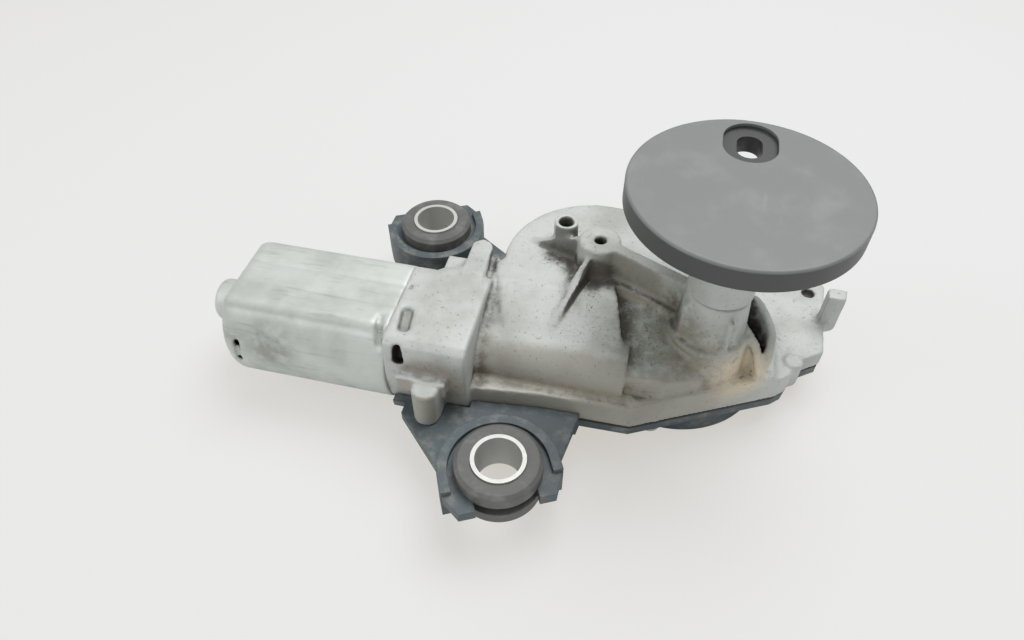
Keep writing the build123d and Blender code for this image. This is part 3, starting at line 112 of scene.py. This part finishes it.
class Finish:
    """A material under construction, with its pattern in the object's own coordinates."""

    def __init__(self, name):
        self.material = bpy.data.materials.new(name)
        self.material.use_nodes = True
        self.tree = self.material.node_tree
        self.shader = self.tree.nodes["Principled BSDF"]
        self.place = self.node("TexCoord", {}, {}, "Object")

    def node(self, kind, settings, inputs, output=0):
        """Adds a node, applies its settings, fills or links its sockets and returns one output."""
        made = self.tree.nodes.new("ShaderNode" + kind)
        for key, value in settings.items():
            setattr(made, key, value)
        for key, value in inputs.items():
            self.fill(made.inputs[key], value)
        return Value(self, made.outputs[output])

    def fill(self, socket, value):
        """Links a value that is a socket, and sets one that is a number or a colour."""
        if isinstance(value, Value):
            self.tree.links.new(value.socket, socket)
        elif isinstance(value, tuple) and len(value) == 3 and len(socket.default_value) == 4:
            socket.default_value = value + (1.0,)
        else:
            socket.default_value = value

    def noise(self, size, detail=3.0, roughness=0.55, stretch=(1, 1, 1)):
        """Cloudy pattern from 0 to 1 whose lumps are about size millimetres across."""
        place = self.node("Mapping", {}, {"Vector": self.place, "Scale": stretch})
        sockets = {"Vector": place, "Scale": 1 / (size * MM), "Detail": detail, "Roughness": roughness}
        return self.node("TexNoise", {}, sockets, "Fac")

    def near(self, point, reach, stretch=(1, 1, 1)):
        """1 at a point given in millimetres, fading to 0 at a reach, wider along small stretches."""
        offset = self.node("VectorMath", {"operation": "SUBTRACT"},
                           {0: self.place, 1: tuple(v * MM for v in point)})
        scaled = self.node("VectorMath", {"operation": "MULTIPLY"}, {0: offset, 1: stretch})
        length = self.node("VectorMath", {"operation": "LENGTH"}, {0: scaled}, "Value")
        return length.ramp(reach * MM, reach * MM * 0.25)

    def patches(self, places):
        """Sum of patches, each with a point, a reach and, if it isn't round, its stretches."""
        total = self.near(*places[0])
        for place in places[1:]:
            total = total + self.near(*place)
        return total

    def height(self):
        """Height above the frame's origin, in metres."""
        return self.node("SeparateXYZ", {}, {0: self.place}, "Z")

    def corner(self, reach):
        """0 on open faces, rising to 1 in corners narrower than a reach in millimetres."""
        settings = {"samples": 8, "only_local": True}
        return 1 - self.node("AmbientOcclusion", settings, {"Distance": reach * MM}, "AO")

    def facing(self, way):
        """1 on faces turned towards a direction, falling to 0 on those a quarter turn from it."""
        normal = self.node("TexCoord", {}, {}, "Normal")
        unit = tuple(v / math.hypot(*way) for v in way)
        turned = self.node("VectorMath", {"operation": "DOT_PRODUCT"}, {0: normal, 1: unit}, "Value")
        return turned.ramp(0.2, 0.75)

    def mix(self, mask, low, high):
        """Colour that goes from low to high as a mask goes from 0 to 1."""
        return self.node("Mix", {"data_type": "RGBA"}, {0: mask, 6: low, 7: high}, 2)

    def bump(self, height, depth, soften=0.0):
        """Relief with a depth in millimetres, over edges softened by a radius in millimetres."""
        sockets = {"Height": height, "Distance": depth * MM, "Strength": 1.0}
        if soften:
            sockets["Normal"] = self.node("Bevel", {"samples": 4}, {"Radius": soften * MM})
        return self.node("Bump", {}, sockets)

    def done(self, **sockets):
        """Fills the shader's sockets, named with underscores for spaces, and gives the material."""
        for key, value in sockets.items():
            self.fill(self.shader.inputs[key.replace("_", " ")], value)
        return self.material


def wear(node, material):
    """Gives a carried-over solid its finish."""
    slots = nodes[node].data.materials
    slots.clear()
    slots.append(material)


# ---------------------------------------------------------------- table and light
# A pale matt table top under a large soft lamp overhead and two weaker ones, from the left
# and from the front. The camera sees the table as a warm off-white with sandy shadows and an
# off-white room behind it. The unit is lit by a plain white table and a dimmer room.
TABLE_SIZE = 6.0
TABLE_LIT = (0.80, 0.80, 0.79)
TABLE_SEEN = (0.197, 0.215, 0.244)
TABLE_GLOW = (0.575, 0.55, 0.51)
TABLE_ROUGH = 0.9
OFF_WHITE = (0.846, 0.846, 0.846)
ROOM_COLOUR = (0.95, 0.96, 0.97)
ROOM_LEVEL = 0.43
LAMPS = [   # name, place and target in metres, side in metres, power in watts
    ("overhead", (0.10, 0.25, 0.75), (-0.05, 0, -0.05), 0.6, 7.2),
    ("left_fill", (-0.7, -0.35, 0.45), (-0.05, 0, -0.05), 0.5, 2.0),
    ("front_fill", (0.1, -0.8, 0.25), (0, 0, -0.06), 0.6, 0.7),
]


def table_top():
    """One flat square face at the floor's height."""
    half = TABLE_SIZE / 2
    corners = [(-half, -half, FLOOR), (half, -half, FLOOR), (half, half, FLOOR), (-half, half, FLOOR)]
    mesh = bpy.data.meshes.new("table")
    mesh.from_pydata(corners, [], [(0, 1, 2, 3)])
    table = bpy.data.objects.new("table", mesh)
    bpy.context.scene.collection.objects.link(table)
    return table


table_finish = Finish("table_white")
table = table_top()
seen = table_finish.node("LightPath", {}, {}, "Is Camera Ray")
table_colour = table_finish.mix(seen, TABLE_LIT, TABLE_SEEN)
table.data.materials.append(table_finish.done(
    Base_Color=table_colour, Roughness=TABLE_ROUGH, Specular_IOR_Level=0.0,
    Emission_Color=TABLE_GLOW, Emission_Strength=seen))

world = bpy.data.worlds.new("room")
bpy.context.scene.world = world
world.use_nodes = True
world_nodes = world.node_tree.nodes
world_links = world.node_tree.links
room = world_nodes["Background"]
room.inputs["Color"].default_value = ROOM_COLOUR + (1.0,)
room.inputs["Strength"].default_value = ROOM_LEVEL
backdrop = world_nodes.new("ShaderNodeBackground")
backdrop.inputs["Color"].default_value = OFF_WHITE + (1.0,)
either = world_nodes.new("ShaderNodeMixShader")
world_links.new(world_nodes.new("ShaderNodeLightPath").outputs["Is Camera Ray"], either.inputs[0])
world_links.new(room.outputs[0], either.inputs[1])
world_links.new(backdrop.outputs[0], either.inputs[2])
world_links.new(either.outputs[0], world_nodes["World Output"].inputs["Surface"])


def soft_lamp(name, place, target, size, power):
    """Square area lamp that faces a target."""
    data = bpy.data.lights.new(name, "AREA")
    data.size = size
    data.energy = power
    lamp = bpy.data.objects.new(name, data)
    lamp.location = place
    aim = np.array(target) - np.array(place)
    flat = math.hypot(aim[0], aim[1])
    lamp.rotation_euler = (math.atan2(flat, -aim[2]), 0, math.atan2(aim[1], aim[0]) - math.pi / 2)
    bpy.context.scene.collection.objects.link(lamp)


for lamp in LAMPS:
    soft_lamp(*lamp)

# ---------------------------------------------------------------- coupling disc
# Moulded in dark plastic with a fine matt grain; handling has left pale smudges on its top.
# Its side is darkened with painted shade.
DISC_COLOUR = (0.165, 0.174, 0.170)
DISC_SMUDGE = (0.25, 0.255, 0.25)
# The side's colour is painted shade, darker than the top.
DISC_SIDE_SHADE = (0.050, 0.052, 0.050)
DISC_SHADE_FROM = -0.5   # painted shade on the side starts at this height and is full at the next
DISC_SHADE_TO = -1.1


def disc_material():
    """Dark plastic with faint cloudy smudges, a few rubbed streaks, a fine grain and painted shade on its
    side.
    """
    f = Finish("disc_plastic")
    smudge = f.noise(14, 4).ramp(0.45, 0.75) * 0.45
    scratches = f.noise(3, 2, stretch=(1, 0.15, 1)).ramp(0.66, 0.74) * 0.25
    colour = f.mix(smudge + scratches, DISC_COLOUR, DISC_SMUDGE)
    # Painted shade: below the top, the side takes the darker side colour.
    colour = f.mix(f.height().ramp(DISC_SHADE_FROM * MM, DISC_SHADE_TO * MM), colour, DISC_SIDE_SHADE)
    grain = f.bump(f.noise(0.35, 1), 0.02, soften=0.4)
    return f.done(Base_Color=colour, Roughness=0.5 + smudge * 0.15, Normal=grain)


wear("coupling_disc", disc_material())

# ---------------------------------------------------------------- gear housing
# Die-cast aluminium, tumbled and unpainted, so every edge is rounded and every inner corner
# filled. Beads of metal stand along the foot of the web and round the leaf-shaped pocket.
# Oil and road dirt lie in the corners, and sand has baked on at the output column's foot. Painted
# shade darkens the corners, the neck's recesses, the output column's foot and faces turned mostly
# to the front.
# Places and lengths are in millimetres.
CAST_VOXEL = 0.78
CAST_SOFTEN = 2
WELD = 0.001
SMOOTHING = 0.5
BEAD_SIDES = 10
BEAD_POINTS = 60
BEAD_ROUNDS = 6
BEAD_TAPER = 8      # a bead narrows over one part in this many at each end
BEAD_TIP = 0.0004
WEB_BEAD = [(-34.0, 10.6, -55.6), (-21.8, 5.0, -56.2), (-12.6, 0.4, -56.6), (-12.2, -4.6, -56.8),
            (-8.6, -9.6, -56.8), (-2.8, -12.5, -57.0), (3.4, -12.4, -57.2)]
WEB_BEAD_RADIUS = 1.5
LEAF_RIMS = [
    [(5.5, 4.0, -49.5), (7.0, 2.0, -51.7), (11.3, -0.6, -55.8), (15.6, -3.2, -59.9),
     (17.4, -5.4, -64.5), (18.6, -7.4, -69.2)],
    [(12.0, 9.0, -47.6), (17.0, 5.8, -52.5), (19.9, 0.5, -55.4), (20.5, -4.0, -61.7),
     (19.6, -6.0, -66.0), (18.6, -7.4, -69.4)],
]
LEAF_RIM_RADIUS = 1.35
GUSSETS = [((-45.6, 18.3, -42.7), (-64.4, 25.0, -53.0)), ((-42.1, 12.0, -44.0), (-52.9, -6.6, -60.4))]
GUSSET_WIDTH = 2.1
GUSSET_DEPTH = 9.0
PEG_BLOCK = [(40.3, 28.0, -61.6), (46.6, 28.0, -61.6), (46.9, 33.0, -61.6), (40.6, 33.4, -61.6)]
PEG_BLOCK_DEPTH = 15.5
COLLAR = [(-75.0, 15.0, -54.4), (-75.0, 4.0, -54.6), (-75.0, -2.0, -56.0), (-75.0, -7.0, -58.4),
          (-75.0, -13.0, -59.7), (-65.5, -14.0, -60.0), (-67.0, -8.0, -57.8), (-69.0, -2.0, -55.4),
          (-70.5, 4.0, -53.9), (-72.0, 11.0, -53.7)]
LUG_APRON = [(-93.0, -1.5, -51.9), (-76.0, -1.5, -51.9), (-76.6, 8.0, -51.6), (-77.4, 15.0, -51.5),
             (-84.2, 15.0, -51.9), (-86.5, 12.5, -57.0), (-94.0, 12.0, -59.8)]
LUG_TRIMS = [   # corners of the top, and depth
    ([(-90.0, 2.0, -40.0), (-72.0, 2.0, -40.0), (-72.0, 26.0, -40.0), (-90.0, 26.0, -40.0)], 11.4),
    ([(-104.0, 6.0, -40.0), (-85.2, 6.0, -40.0), (-85.2, 26.0, -40.0), (-104.0, 26.0, -40.0)], 19.6),
]
CAST_FOOT = -70.0
MOTOR_AXIS = (-12.9, -70.9)
CAN_ROUND = 23.0
CAN_HALF_HEIGHT = 18.2
RECESS_POINTS = 9
RECESS_OVER = 8.0   # a recess's cutting block stands this far above its floor
NECK_RECESSES = [   # low and high angle, left edge at each, right edge at each, depth
    (49, 73, (-97.4, -99.0), (-93.4, -94.8), 0.7),
    (24, 40, (-97.6, -97.2), (-93.8, -94.6), 2.4),
    (95, 106, (-100.2, -100.2), (-98.2, -98.2), 0.1),
]
# Places in the neck's recesses that are darkened with painted shade.
NECK_RECESS_SHADE_PLACES = [(-96.2, -23.0, -52.7), (-95.8, -32.4, -59.6), (-99.0, -10.0, -52.5)]
RECESS_REACH = 9
# Dark patches on faces turned one way: painted shade, with some grime on the gussets.
FACING_SHADE_AND_GRIME = [   # place, reach, way it faces, colour, amount
    ((-46, 4, -52), 16, (1, -0.3, 0), (0.03, 0.026, 0.018), 0.95),
    ((-54, 21, -49), 14, (0.2, -1, 0), (0.13, 0.13, 0.11), 0.8),
    ((-28, 11, -52), 18, (0.3, -1, 0), (0.22, 0.21, 0.17), 0.75),
    ((-39, 9, -52), 9, (0.2, -1, 0), (0.08, 0.07, 0.055), 0.85),
    ((-85, -38, -68), 16, (0, -1, 0), (0.25, 0.22, 0.17), 0.6),
    ((-30, -30, -78), 60, (0, -1, 0), (0.30, 0.27, 0.21), 0.55),
]
OILY = [((-37, 2, -56), 20), ((-52, 18, -53), 11), ((-20, -4, -58), 17)]
# Patches of painted shade, mottled, round the output column and the deck in front of it: place and reach.
PAINTED_SHADE_PATCHES = [((-18, -6, -60), 26), ((0, 0, -60), 24)]
RUSTY = [((-60, -22, -70), 26), ((-30, -24, -72), 22), ((6, -20, -72), 20)]
SANDY = [((12, -10, -67), 15, (1, 0.8, 1))]
CAST_CORNER = 7.0
CAST_COLOUR = (0.48, 0.495, 0.475)
# Darker metal for the cloudy oxide, also used as painted shade round the output column.
CAST_DARK = (0.25, 0.26, 0.22)
# Near-black brown for pores and grime, also used as painted shade in corners and recesses.
GRIME_AND_SHADE = (0.045, 0.038, 0.026)
SAND = (0.69, 0.60, 0.45)
RUST = (0.36, 0.30, 0.20)


def path_frames(points, count):
    """Evenly spaced points along a smoothed path through points, with two unit sides at each."""
    points = np.array(points, float) * MM
    run = np.concatenate([[0], np.cumsum(np.linalg.norm(np.diff(points, axis=0), axis=1))])
    at = np.linspace(0, run[-1], count)
    line = np.stack([np.interp(at, run, points[:, k]) for k in range(3)], axis=1)
    for _ in range(BEAD_ROUNDS):
        line[1:-1] = (line[:-2] + 2 * line[1:-1] + line[2:]) / 4
    ahead = np.gradient(line, axis=0)
    ahead /= np.linalg.norm(ahead, axis=1, keepdims=True)
    across = np.cross(ahead, (0, 0, 1.0))
    across /= np.linalg.norm(across, axis=1, keepdims=True)
    return line, across, np.cross(across, ahead)


def bead_mesh(name, points, radius):
    """Closed tube: a circle carried along a smoothed path, narrowing at both ends as the square
    root of the distance from the end."""
    line, across, up = path_frames(points, BEAD_POINTS)
    end = np.linspace(0, 1, BEAD_POINTS)
    swell = np.sqrt(np.clip(np.minimum(end, 1 - end) * BEAD_TAPER, BEAD_TIP, 1)) * radius * MM
    turn = np.linspace(0, 2 * np.pi, BEAD_SIDES, endpoint=False)
    ring = across[:, None] * np.cos(turn)[None, :, None] + up[:, None] * np.sin(turn)[None, :, None]
    verts = (line[:, None] + ring * swell[:, None, None]).reshape(-1, 3)
    row = np.arange(BEAD_POINTS - 1)[:, None] * BEAD_SIDES
    col = np.arange(BEAD_SIDES)[None, :]
    after = (col + 1) % BEAD_SIDES
    quads = np.stack([row + col, row + after, row + BEAD_SIDES + after, row + BEAD_SIDES + col], axis=2)
    first = list(range(BEAD_SIDES))
    last = [(BEAD_POINTS - 1) * BEAD_SIDES + k for k in reversed(range(BEAD_SIDES))]
    mesh = bpy.data.meshes.new(name)
    mesh.from_pydata(verts.tolist(), [], quads.reshape(-1, 4)[:, ::-1].tolist() + [first, last])
    return mesh


def block_mesh(name, corners, faces, triangles):
    """Closed mesh with its faces turned outwards, and cut into triangles if they may bend."""
    mesh = bpy.data.meshes.new(name)
    mesh.from_pydata((np.array(corners) * MM).tolist(), [], faces)
    fixed = bmesh.new()
    fixed.from_mesh(mesh)
    if triangles:
        bmesh.ops.triangulate(fixed, faces=fixed.faces)
    bmesh.ops.recalc_face_normals(fixed, faces=fixed.faces)
    fixed.to_mesh(mesh)
    fixed.free()
    return mesh


def prism_mesh(name, top, depth=None):
    """Closed block under a ring of top corners, reaching down by a depth or, without one, to the
    level of the housing's skirt."""
    top = np.array(top, float)
    base = top.copy()
    base[:, 2] = CAST_FOOT if depth is None else top[:, 2] - depth
    count = len(top)
    sides = [(k, (k + 1) % count, count + (k + 1) % count, count + k) for k in range(count)]
    faces = [tuple(range(count))[::-1], tuple(range(count, 2 * count))] + sides
    return block_mesh(name, np.concatenate([top, base]), faces, True)


def gusset_mesh(name, start, end):
    """Thin upright plate whose top edge runs between two points."""
    run = np.array(end) - np.array(start)
    side = np.array([-run[1], run[0], 0]) / math.hypot(run[0], run[1]) * GUSSET_WIDTH / 2
    corners = [np.array(start) - side, np.array(end) - side, np.array(end) + side, np.array(start) + side]
    return prism_mesh(name, corners, GUSSET_DEPTH)


def axis_radius(angle):
    """Distance from the motor axis to the can's skin at an angle in degrees from the front."""
    rise = np.maximum(np.abs(np.sin(np.radians(angle))), 0.01)
    return np.minimum(CAN_ROUND, CAN_HALF_HEIGHT / rise)


def recess_mesh(name, low, high, starts, ends, depth):
    """Closed curved block round the motor axis that cuts a recess of a depth into its skin."""
    angles = np.linspace(low, high, RECESS_POINTS)
    left = np.linspace(starts[0], starts[1], RECESS_POINTS)
    right = np.linspace(ends[0], ends[1], RECESS_POINTS)
    floor = axis_radius(angles) - depth
    top = floor + RECESS_OVER
    corners = []
    for along, reach in ((left, floor), (right, floor), (right, top), (left, top)):
        corners += list(zip(along, MOTOR_AXIS[0] - reach * np.cos(np.radians(angles)),
                            MOTOR_AXIS[1] + reach * np.sin(np.radians(angles))))
    row = [RECESS_POINTS * j for j in range(4)]
    faces = [(row[j] + k, row[j] + k + 1, row[(j + 1) % 4] + k + 1, row[(j + 1) % 4] + k)
             for j in range(4) for k in range(RECESS_POINTS - 1)]
    far = [start + RECESS_POINTS - 1 for start in row]
    return block_mesh(name, corners, faces + [tuple(row), (far[0], far[3], far[2], far[1])], False)


def softened(name, node, extra, cuts, voxel, rounds):
    """A copy of a solid joined with extra closed shapes, cut by others, remeshed and smoothed,
    so that its edges are rounded and its inner corners filled."""
    joined = bmesh.new()
    joined.from_mesh(nodes[node].data)
    for shape in extra:
        joined.from_mesh(shape)
    bmesh.ops.remove_doubles(joined, verts=joined.verts, dist=WELD * MM)
    mesh = bpy.data.meshes.new(name)
    joined.to_mesh(mesh)
    joined.free()
    piece = bpy.data.objects.new(name, mesh)
    bpy.context.scene.collection.objects.link(piece)
    for cut in cuts:
        cutter = bpy.data.objects.new(name + "_cut", cut)
        bpy.context.scene.collection.objects.link(cutter)
        taking = piece.modifiers.new("cut", "BOOLEAN")
        taking.object = cutter
        taking.operation = "DIFFERENCE"
        taking.solver = "EXACT"
        taking.use_self = True
    remesh = piece.modifiers.new("remesh", "REMESH")
    remesh.mode = "VOXEL"
    remesh.voxel_size = voxel * MM
    smooth = piece.modifiers.new("smooth", "SMOOTH")
    smooth.factor = SMOOTHING
    smooth.iterations = rounds
    graph = bpy.context.evaluated_depsgraph_get()
    piece.data = bpy.data.meshes.new_from_object(piece.evaluated_get(graph))
    for cutter in [m.object for m in piece.modifiers if m.type == "BOOLEAN"]:
        bpy.data.objects.remove(cutter)
    piece.modifiers.clear()
    piece.data.name = name
    piece.data.materials.clear()
    piece.data.polygons.foreach_set("use_smooth", [True] * len(piece.data.polygons))
    return piece


def cast_material(name, dirt_and_shade):
    """Cast metal with dark pores, cloudy oxide and, where it is dirty, grime with painted shade in its
    corners, painted shade in recesses and on some faces with a little grime, rust and baked sand."""
    f = Finish(name)
    cloud = f.noise(22, 4).ramp(0.38, 0.72)
    colour = f.mix(cloud * 0.5, CAST_COLOUR, CAST_DARK)
    pores = f.noise(1.0, 4, 0.7).ramp(0.60, 0.70)
    if dirt_and_shade:
        blotch = f.noise(4, 5, 0.65).ramp(0.36, 0.62)
        foot = f.patches(OILY)
        shade = f.patches(PAINTED_SHADE_PATCHES)
        # Painted shade, mottled, round the output column and the deck.
        colour = f.mix((shade * (blotch * 0.45 + 0.5)).ramp(0.0, 1.1), colour, CAST_DARK)
        # Ambient occlusion, used for rust and for grime with painted shade in the corners.
        corner = f.corner(CAST_CORNER)
        warm = f.patches(RUSTY)
        colour = f.mix((warm * (corner * 1.6 + 0.15)).ramp(0.0, 1.2), colour, RUST)
        sand = f.patches(SANDY) * f.noise(2.5, 4).ramp(0.22, 0.5)
        colour = f.mix(sand * 0.95, colour, SAND)
        # Grime and painted shade in the corners, heavier where it is oily and left out under the sand.
        corner_shade_and_grime = corner * (blotch * 1.1 + 0.9) * (foot * 1.5 + 0.75) * (1 - sand)
        colour = f.mix(corner_shade_and_grime.ramp(0.09, 0.72) * 0.95, colour, GRIME_AND_SHADE)
        speckle = f.noise(0.9, 4, 0.75).ramp(0.54, 0.62) * f.noise(12, 3).ramp(0.35, 0.65)
        colour = f.mix((speckle * (foot + 0.25)).ramp(0.0, 1.0) * 0.8, colour, GRIME_AND_SHADE)
        # Painted shade, with some grime, on the faces turned each way near each place.
        for place, reach, way, shade_colour, amount in FACING_SHADE_AND_GRIME:
            facing_shade_and_grime = f.near(place, reach) * f.facing(way) * (blotch * 0.3 + 0.85)
            colour = f.mix((facing_shade_and_grime * 1.6).ramp(0.0, 1.0) * amount, colour, shade_colour)
        # Painted shade in the neck's recesses.
        for place in NECK_RECESS_SHADE_PLACES:
            colour = f.mix((f.near(place, RECESS_REACH) * corner * 3.5).ramp(0.3, 1.0), colour, GRIME_AND_SHADE)
    colour = f.mix(pores * 0.45, colour, GRIME_AND_SHADE)
    relief = f.bump(f.noise(0.8, 3) * 0.6 + pores * -0.5, 0.12)
    rough = 0.6 + cloud * 0.1 + pores * 0.1
    return f.done(Base_Color=colour, Roughness=rough, Metallic=0.2, Normal=relief)


cast_shapes = [bead_mesh("web_bead", WEB_BEAD, WEB_BEAD_RADIUS)]
cast_shapes += [prism_mesh("collar", COLLAR), prism_mesh("apron", LUG_APRON)]
cast_shapes += [gusset_mesh("gusset", start, end) for start, end in GUSSETS]
cast_shapes += [bead_mesh("leaf_rim", path, LEAF_RIM_RADIUS) for path in LEAF_RIMS]
cast_shapes.append(prism_mesh("peg", PEG_BLOCK, PEG_BLOCK_DEPTH))
cast_cuts = [recess_mesh("crimp", *place) for place in NECK_RECESSES]
cast_cuts += [prism_mesh("trim", corners, depth) for corners, depth in LUG_TRIMS]
casting = softened("housing_casting", "gear_housing", cast_shapes, cast_cuts, CAST_VOXEL, CAST_SOFTEN)
casting.data.materials.append(cast_material("cast_aluminium", True))
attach(casting, "housing")
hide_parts("gear_housing")
wear("gear_housing", casting.data.materials[0])
wear("disc_hub", cast_material("hub_aluminium", False))

# ---------------------------------------------------------------- motor can
# Drawn steel with a dull zinc skin, scuffed along its length, with two shallow slots pressed
# into it and soft creases along its front and top. Painted shade, with some grime, darkens the slots.
CAN_COLOUR = (0.55, 0.58, 0.55)
CAN_DARK = (0.23, 0.24, 0.20)
CAN_CORNER = 4.0
CAN_OIL = ((-141, -34, -66), 13)
CAN_VOXEL = 0.75
CAN_SOFTEN = 3
CREASES = (44.0, 74.0, 104.0)   # angles from the front, in degrees
CREASE_WIDTH = 3.0              # in degrees
CREASE_DEPTH = 0.35
CREASE_SKIN = 0.8               # only the skin down to this depth is pressed in
CAN_RECESSES = [(30, 62, (-104.6, -106.2), (-101.8, -103.2), 1.2),
                (-14, 16, (-156.6, -155.2), (-154.0, -152.6), 1.2)]
# Places in the two slots darkened with painted shade and some grime.
CAN_RECESS_SHADE_PLACES = [(-104.0, -28.6, -54.1), (-154.6, -35.9, -70.0)]


def can_material():
    """Dull zinc with long scuffs, a dark oily patch on its front and painted shade with some grime in its
    slots.
    """
    f = Finish("can_steel")
    cloud = f.noise(16, 4).ramp(0.35, 0.75)
    scuff = f.noise(2.2, 3, stretch=(0.12, 1, 1)).ramp(0.55, 0.72)
    patch = f.near(*CAN_OIL) * f.noise(5, 4).ramp(0.3, 0.6)
    colour = f.mix(cloud * 0.4 + scuff * 0.25, CAN_COLOUR, CAN_DARK)
    colour = f.mix(patch * 0.7, colour, CAN_DARK)
    # Painted shade, with some grime, in the two slots.
    for place in CAN_RECESS_SHADE_PLACES:
        corner_shade_and_grime = f.near(place, RECESS_REACH) * f.corner(CAN_CORNER) * 4.0
        colour = f.mix(corner_shade_and_grime.ramp(0.25, 1.0), colour, GRIME_AND_SHADE)
    relief = f.bump(f.noise(1.2, 2), 0.04)
    return f.done(Base_Color=colour, Roughness=0.52 + cloud * 0.15, Metallic=0.35, Normal=relief)


def creased(piece):
    """Presses long shallow creases into the can's skin, parallel to the motor axis."""
    skin = piece.data.vertices
    place = np.empty(len(skin) * 3)
    skin.foreach_get("co", place)
    place = place.reshape(-1, 3)
    across = MOTOR_AXIS[0] * MM - place[:, 1]
    up = place[:, 2] - MOTOR_AXIS[1] * MM
    angle = np.degrees(np.arctan2(up, across))
    outside = np.hypot(across, up) > (axis_radius(angle) - CREASE_SKIN) * MM
    press = sum(np.exp(-((angle - crease) / CREASE_WIDTH) ** 2) for crease in CREASES)
    press = press * outside * CREASE_DEPTH * MM
    place[:, 1] += press * np.cos(np.radians(angle))
    place[:, 2] -= press * np.sin(np.radians(angle))
    skin.foreach_set("co", place.ravel())


can_cuts = [recess_mesh("slot", *place) for place in CAN_RECESSES]
can = softened("can_steel_shell", "motor_can", [], can_cuts, CAN_VOXEL, CAN_SOFTEN)
creased(can)
can.data.materials.append(can_material())
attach(can, "housing")
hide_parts("motor_can")
wear("motor_can", can.data.materials[0])

# ---------------------------------------------------------------- cover, ears and seal
# One dark glass-filled moulding under the housing, rough and dusty, with a black rubber seal.
COVER_COLOUR = (0.070, 0.088, 0.096)
COVER_DUST = (0.25, 0.255, 0.23)
SOCKET_COLOUR = (0.02, 0.02, 0.022)
SOCKET_DUST = (0.05, 0.05, 0.05)
SEAL_COLOUR = (0.015, 0.015, 0.015)
SEAL_DUST = (0.04, 0.04, 0.035)


def moulding_material(name, colour, dust):
    """Moulded plastic with dust in its grain."""
    f = Finish(name)
    dusty = f.noise(6, 5, 0.65).ramp(0.45, 0.72)
    base = f.mix(dusty * 0.6, colour, dust)
    relief = f.bump(f.noise(0.9, 3), 0.08, soften=0.5)
    return f.done(Base_Color=base, Roughness=0.55 + dusty * 0.25, Normal=relief)


wear("base_cover", moulding_material("cover_moulding", COVER_COLOUR, COVER_DUST))
wear("connector_socket", moulding_material("socket_moulding", SOCKET_COLOUR, SOCKET_DUST))
wear("cover_seal", moulding_material("seal_rubber", SEAL_COLOUR, SEAL_DUST))

# ---------------------------------------------------------------- rubber mounts
# Grey-brown rubber grommets with a dusty skin, on turned steel sleeves.
RUBBER_COLOUR = (0.100, 0.100, 0.096)
RUBBER_DUST = (0.22, 0.215, 0.20)
SLEEVE_COLOUR = (0.56, 0.56, 0.53)
SLEEVE_ROUGH = 0.5
for end in ("front", "rear"):
    wear(end + "_grommet", moulding_material(end + "_rubber", RUBBER_COLOUR, RUBBER_DUST))


def bright_material(name, colour, rough):
    """Plain machined metal with faint turning marks."""
    f = Finish(name)
    marks = f.noise(1.5, 2, stretch=(1, 1, 6))
    return f.done(Base_Color=colour, Metallic=0.8, Roughness=rough + marks * 0.15, Normal=f.bump(marks, 0.02))


sleeve_steel = bright_material("sleeve_steel", SLEEVE_COLOUR, SLEEVE_ROUGH)
for end in ("front", "rear"):
    wear(end + "_sleeve", sleeve_steel)

# ---------------------------------------------------------------- inside and underneath
# Bare and plated steel, sintered bronze, copper, brass and laminated iron; then moulded gear
# plastic, the brush plate, ferrite, the printed board and the shaft's rubber seal.
METALS = {   # colour, roughness, pieces
    "ground_steel": ((0.70, 0.70, 0.69), 0.25,
                     ("armature_shaft", "output_shaft", "crank_pin", "lever_pin", "wheel_pin",
                      "thrust_ball")),
    "plated_steel": ((0.55, 0.55, 0.52), 0.35,
                     ("cover_screws", "drive_link", "output_lever", "wheel_clip", "bearing_retainer",
                      "brush_springs")),
    "sintered_bronze": ((0.45, 0.31, 0.16), 0.5,
                        ("can_bearing", "neck_bearing", "worm_end_bush", "upper_bush", "lower_bush")),
    "copper": ((0.62, 0.30, 0.16), 0.35, ("armature_windings", "commutator")),
    "brass": ((0.66, 0.50, 0.22), 0.3, ("terminal_pins",)),
    "core_iron": ((0.25, 0.25, 0.26), 0.5, ("armature_core",)),
}
for name, (colour, rough, members) in METALS.items():
    metal = bright_material(name, colour, rough)
    for member in members:
        wear(member, metal)
PLASTICS = {   # colour, colour of its dust, pieces
    "gear_plastic": ((0.72, 0.70, 0.64), (0.60, 0.57, 0.50), ("worm_wheel", "thrust_washer")),
    "brush_moulding": ((0.30, 0.20, 0.11), (0.22, 0.16, 0.10), ("brush_plate",)),
    "ferrite": ((0.06, 0.06, 0.06), (0.10, 0.10, 0.10), ("field_magnets", "carbon_brushes")),
    "board_green": ((0.03, 0.14, 0.06), (0.05, 0.18, 0.09), ("circuit_board",)),
    "lip_rubber": ((0.02, 0.02, 0.02), (0.05, 0.05, 0.045), ("shaft_seal",)),
}
for name, (colour, dust, members) in PLASTICS.items():
    plastic = moulding_material(name, colour, dust)
    for member in members:
        wear(member, plastic)
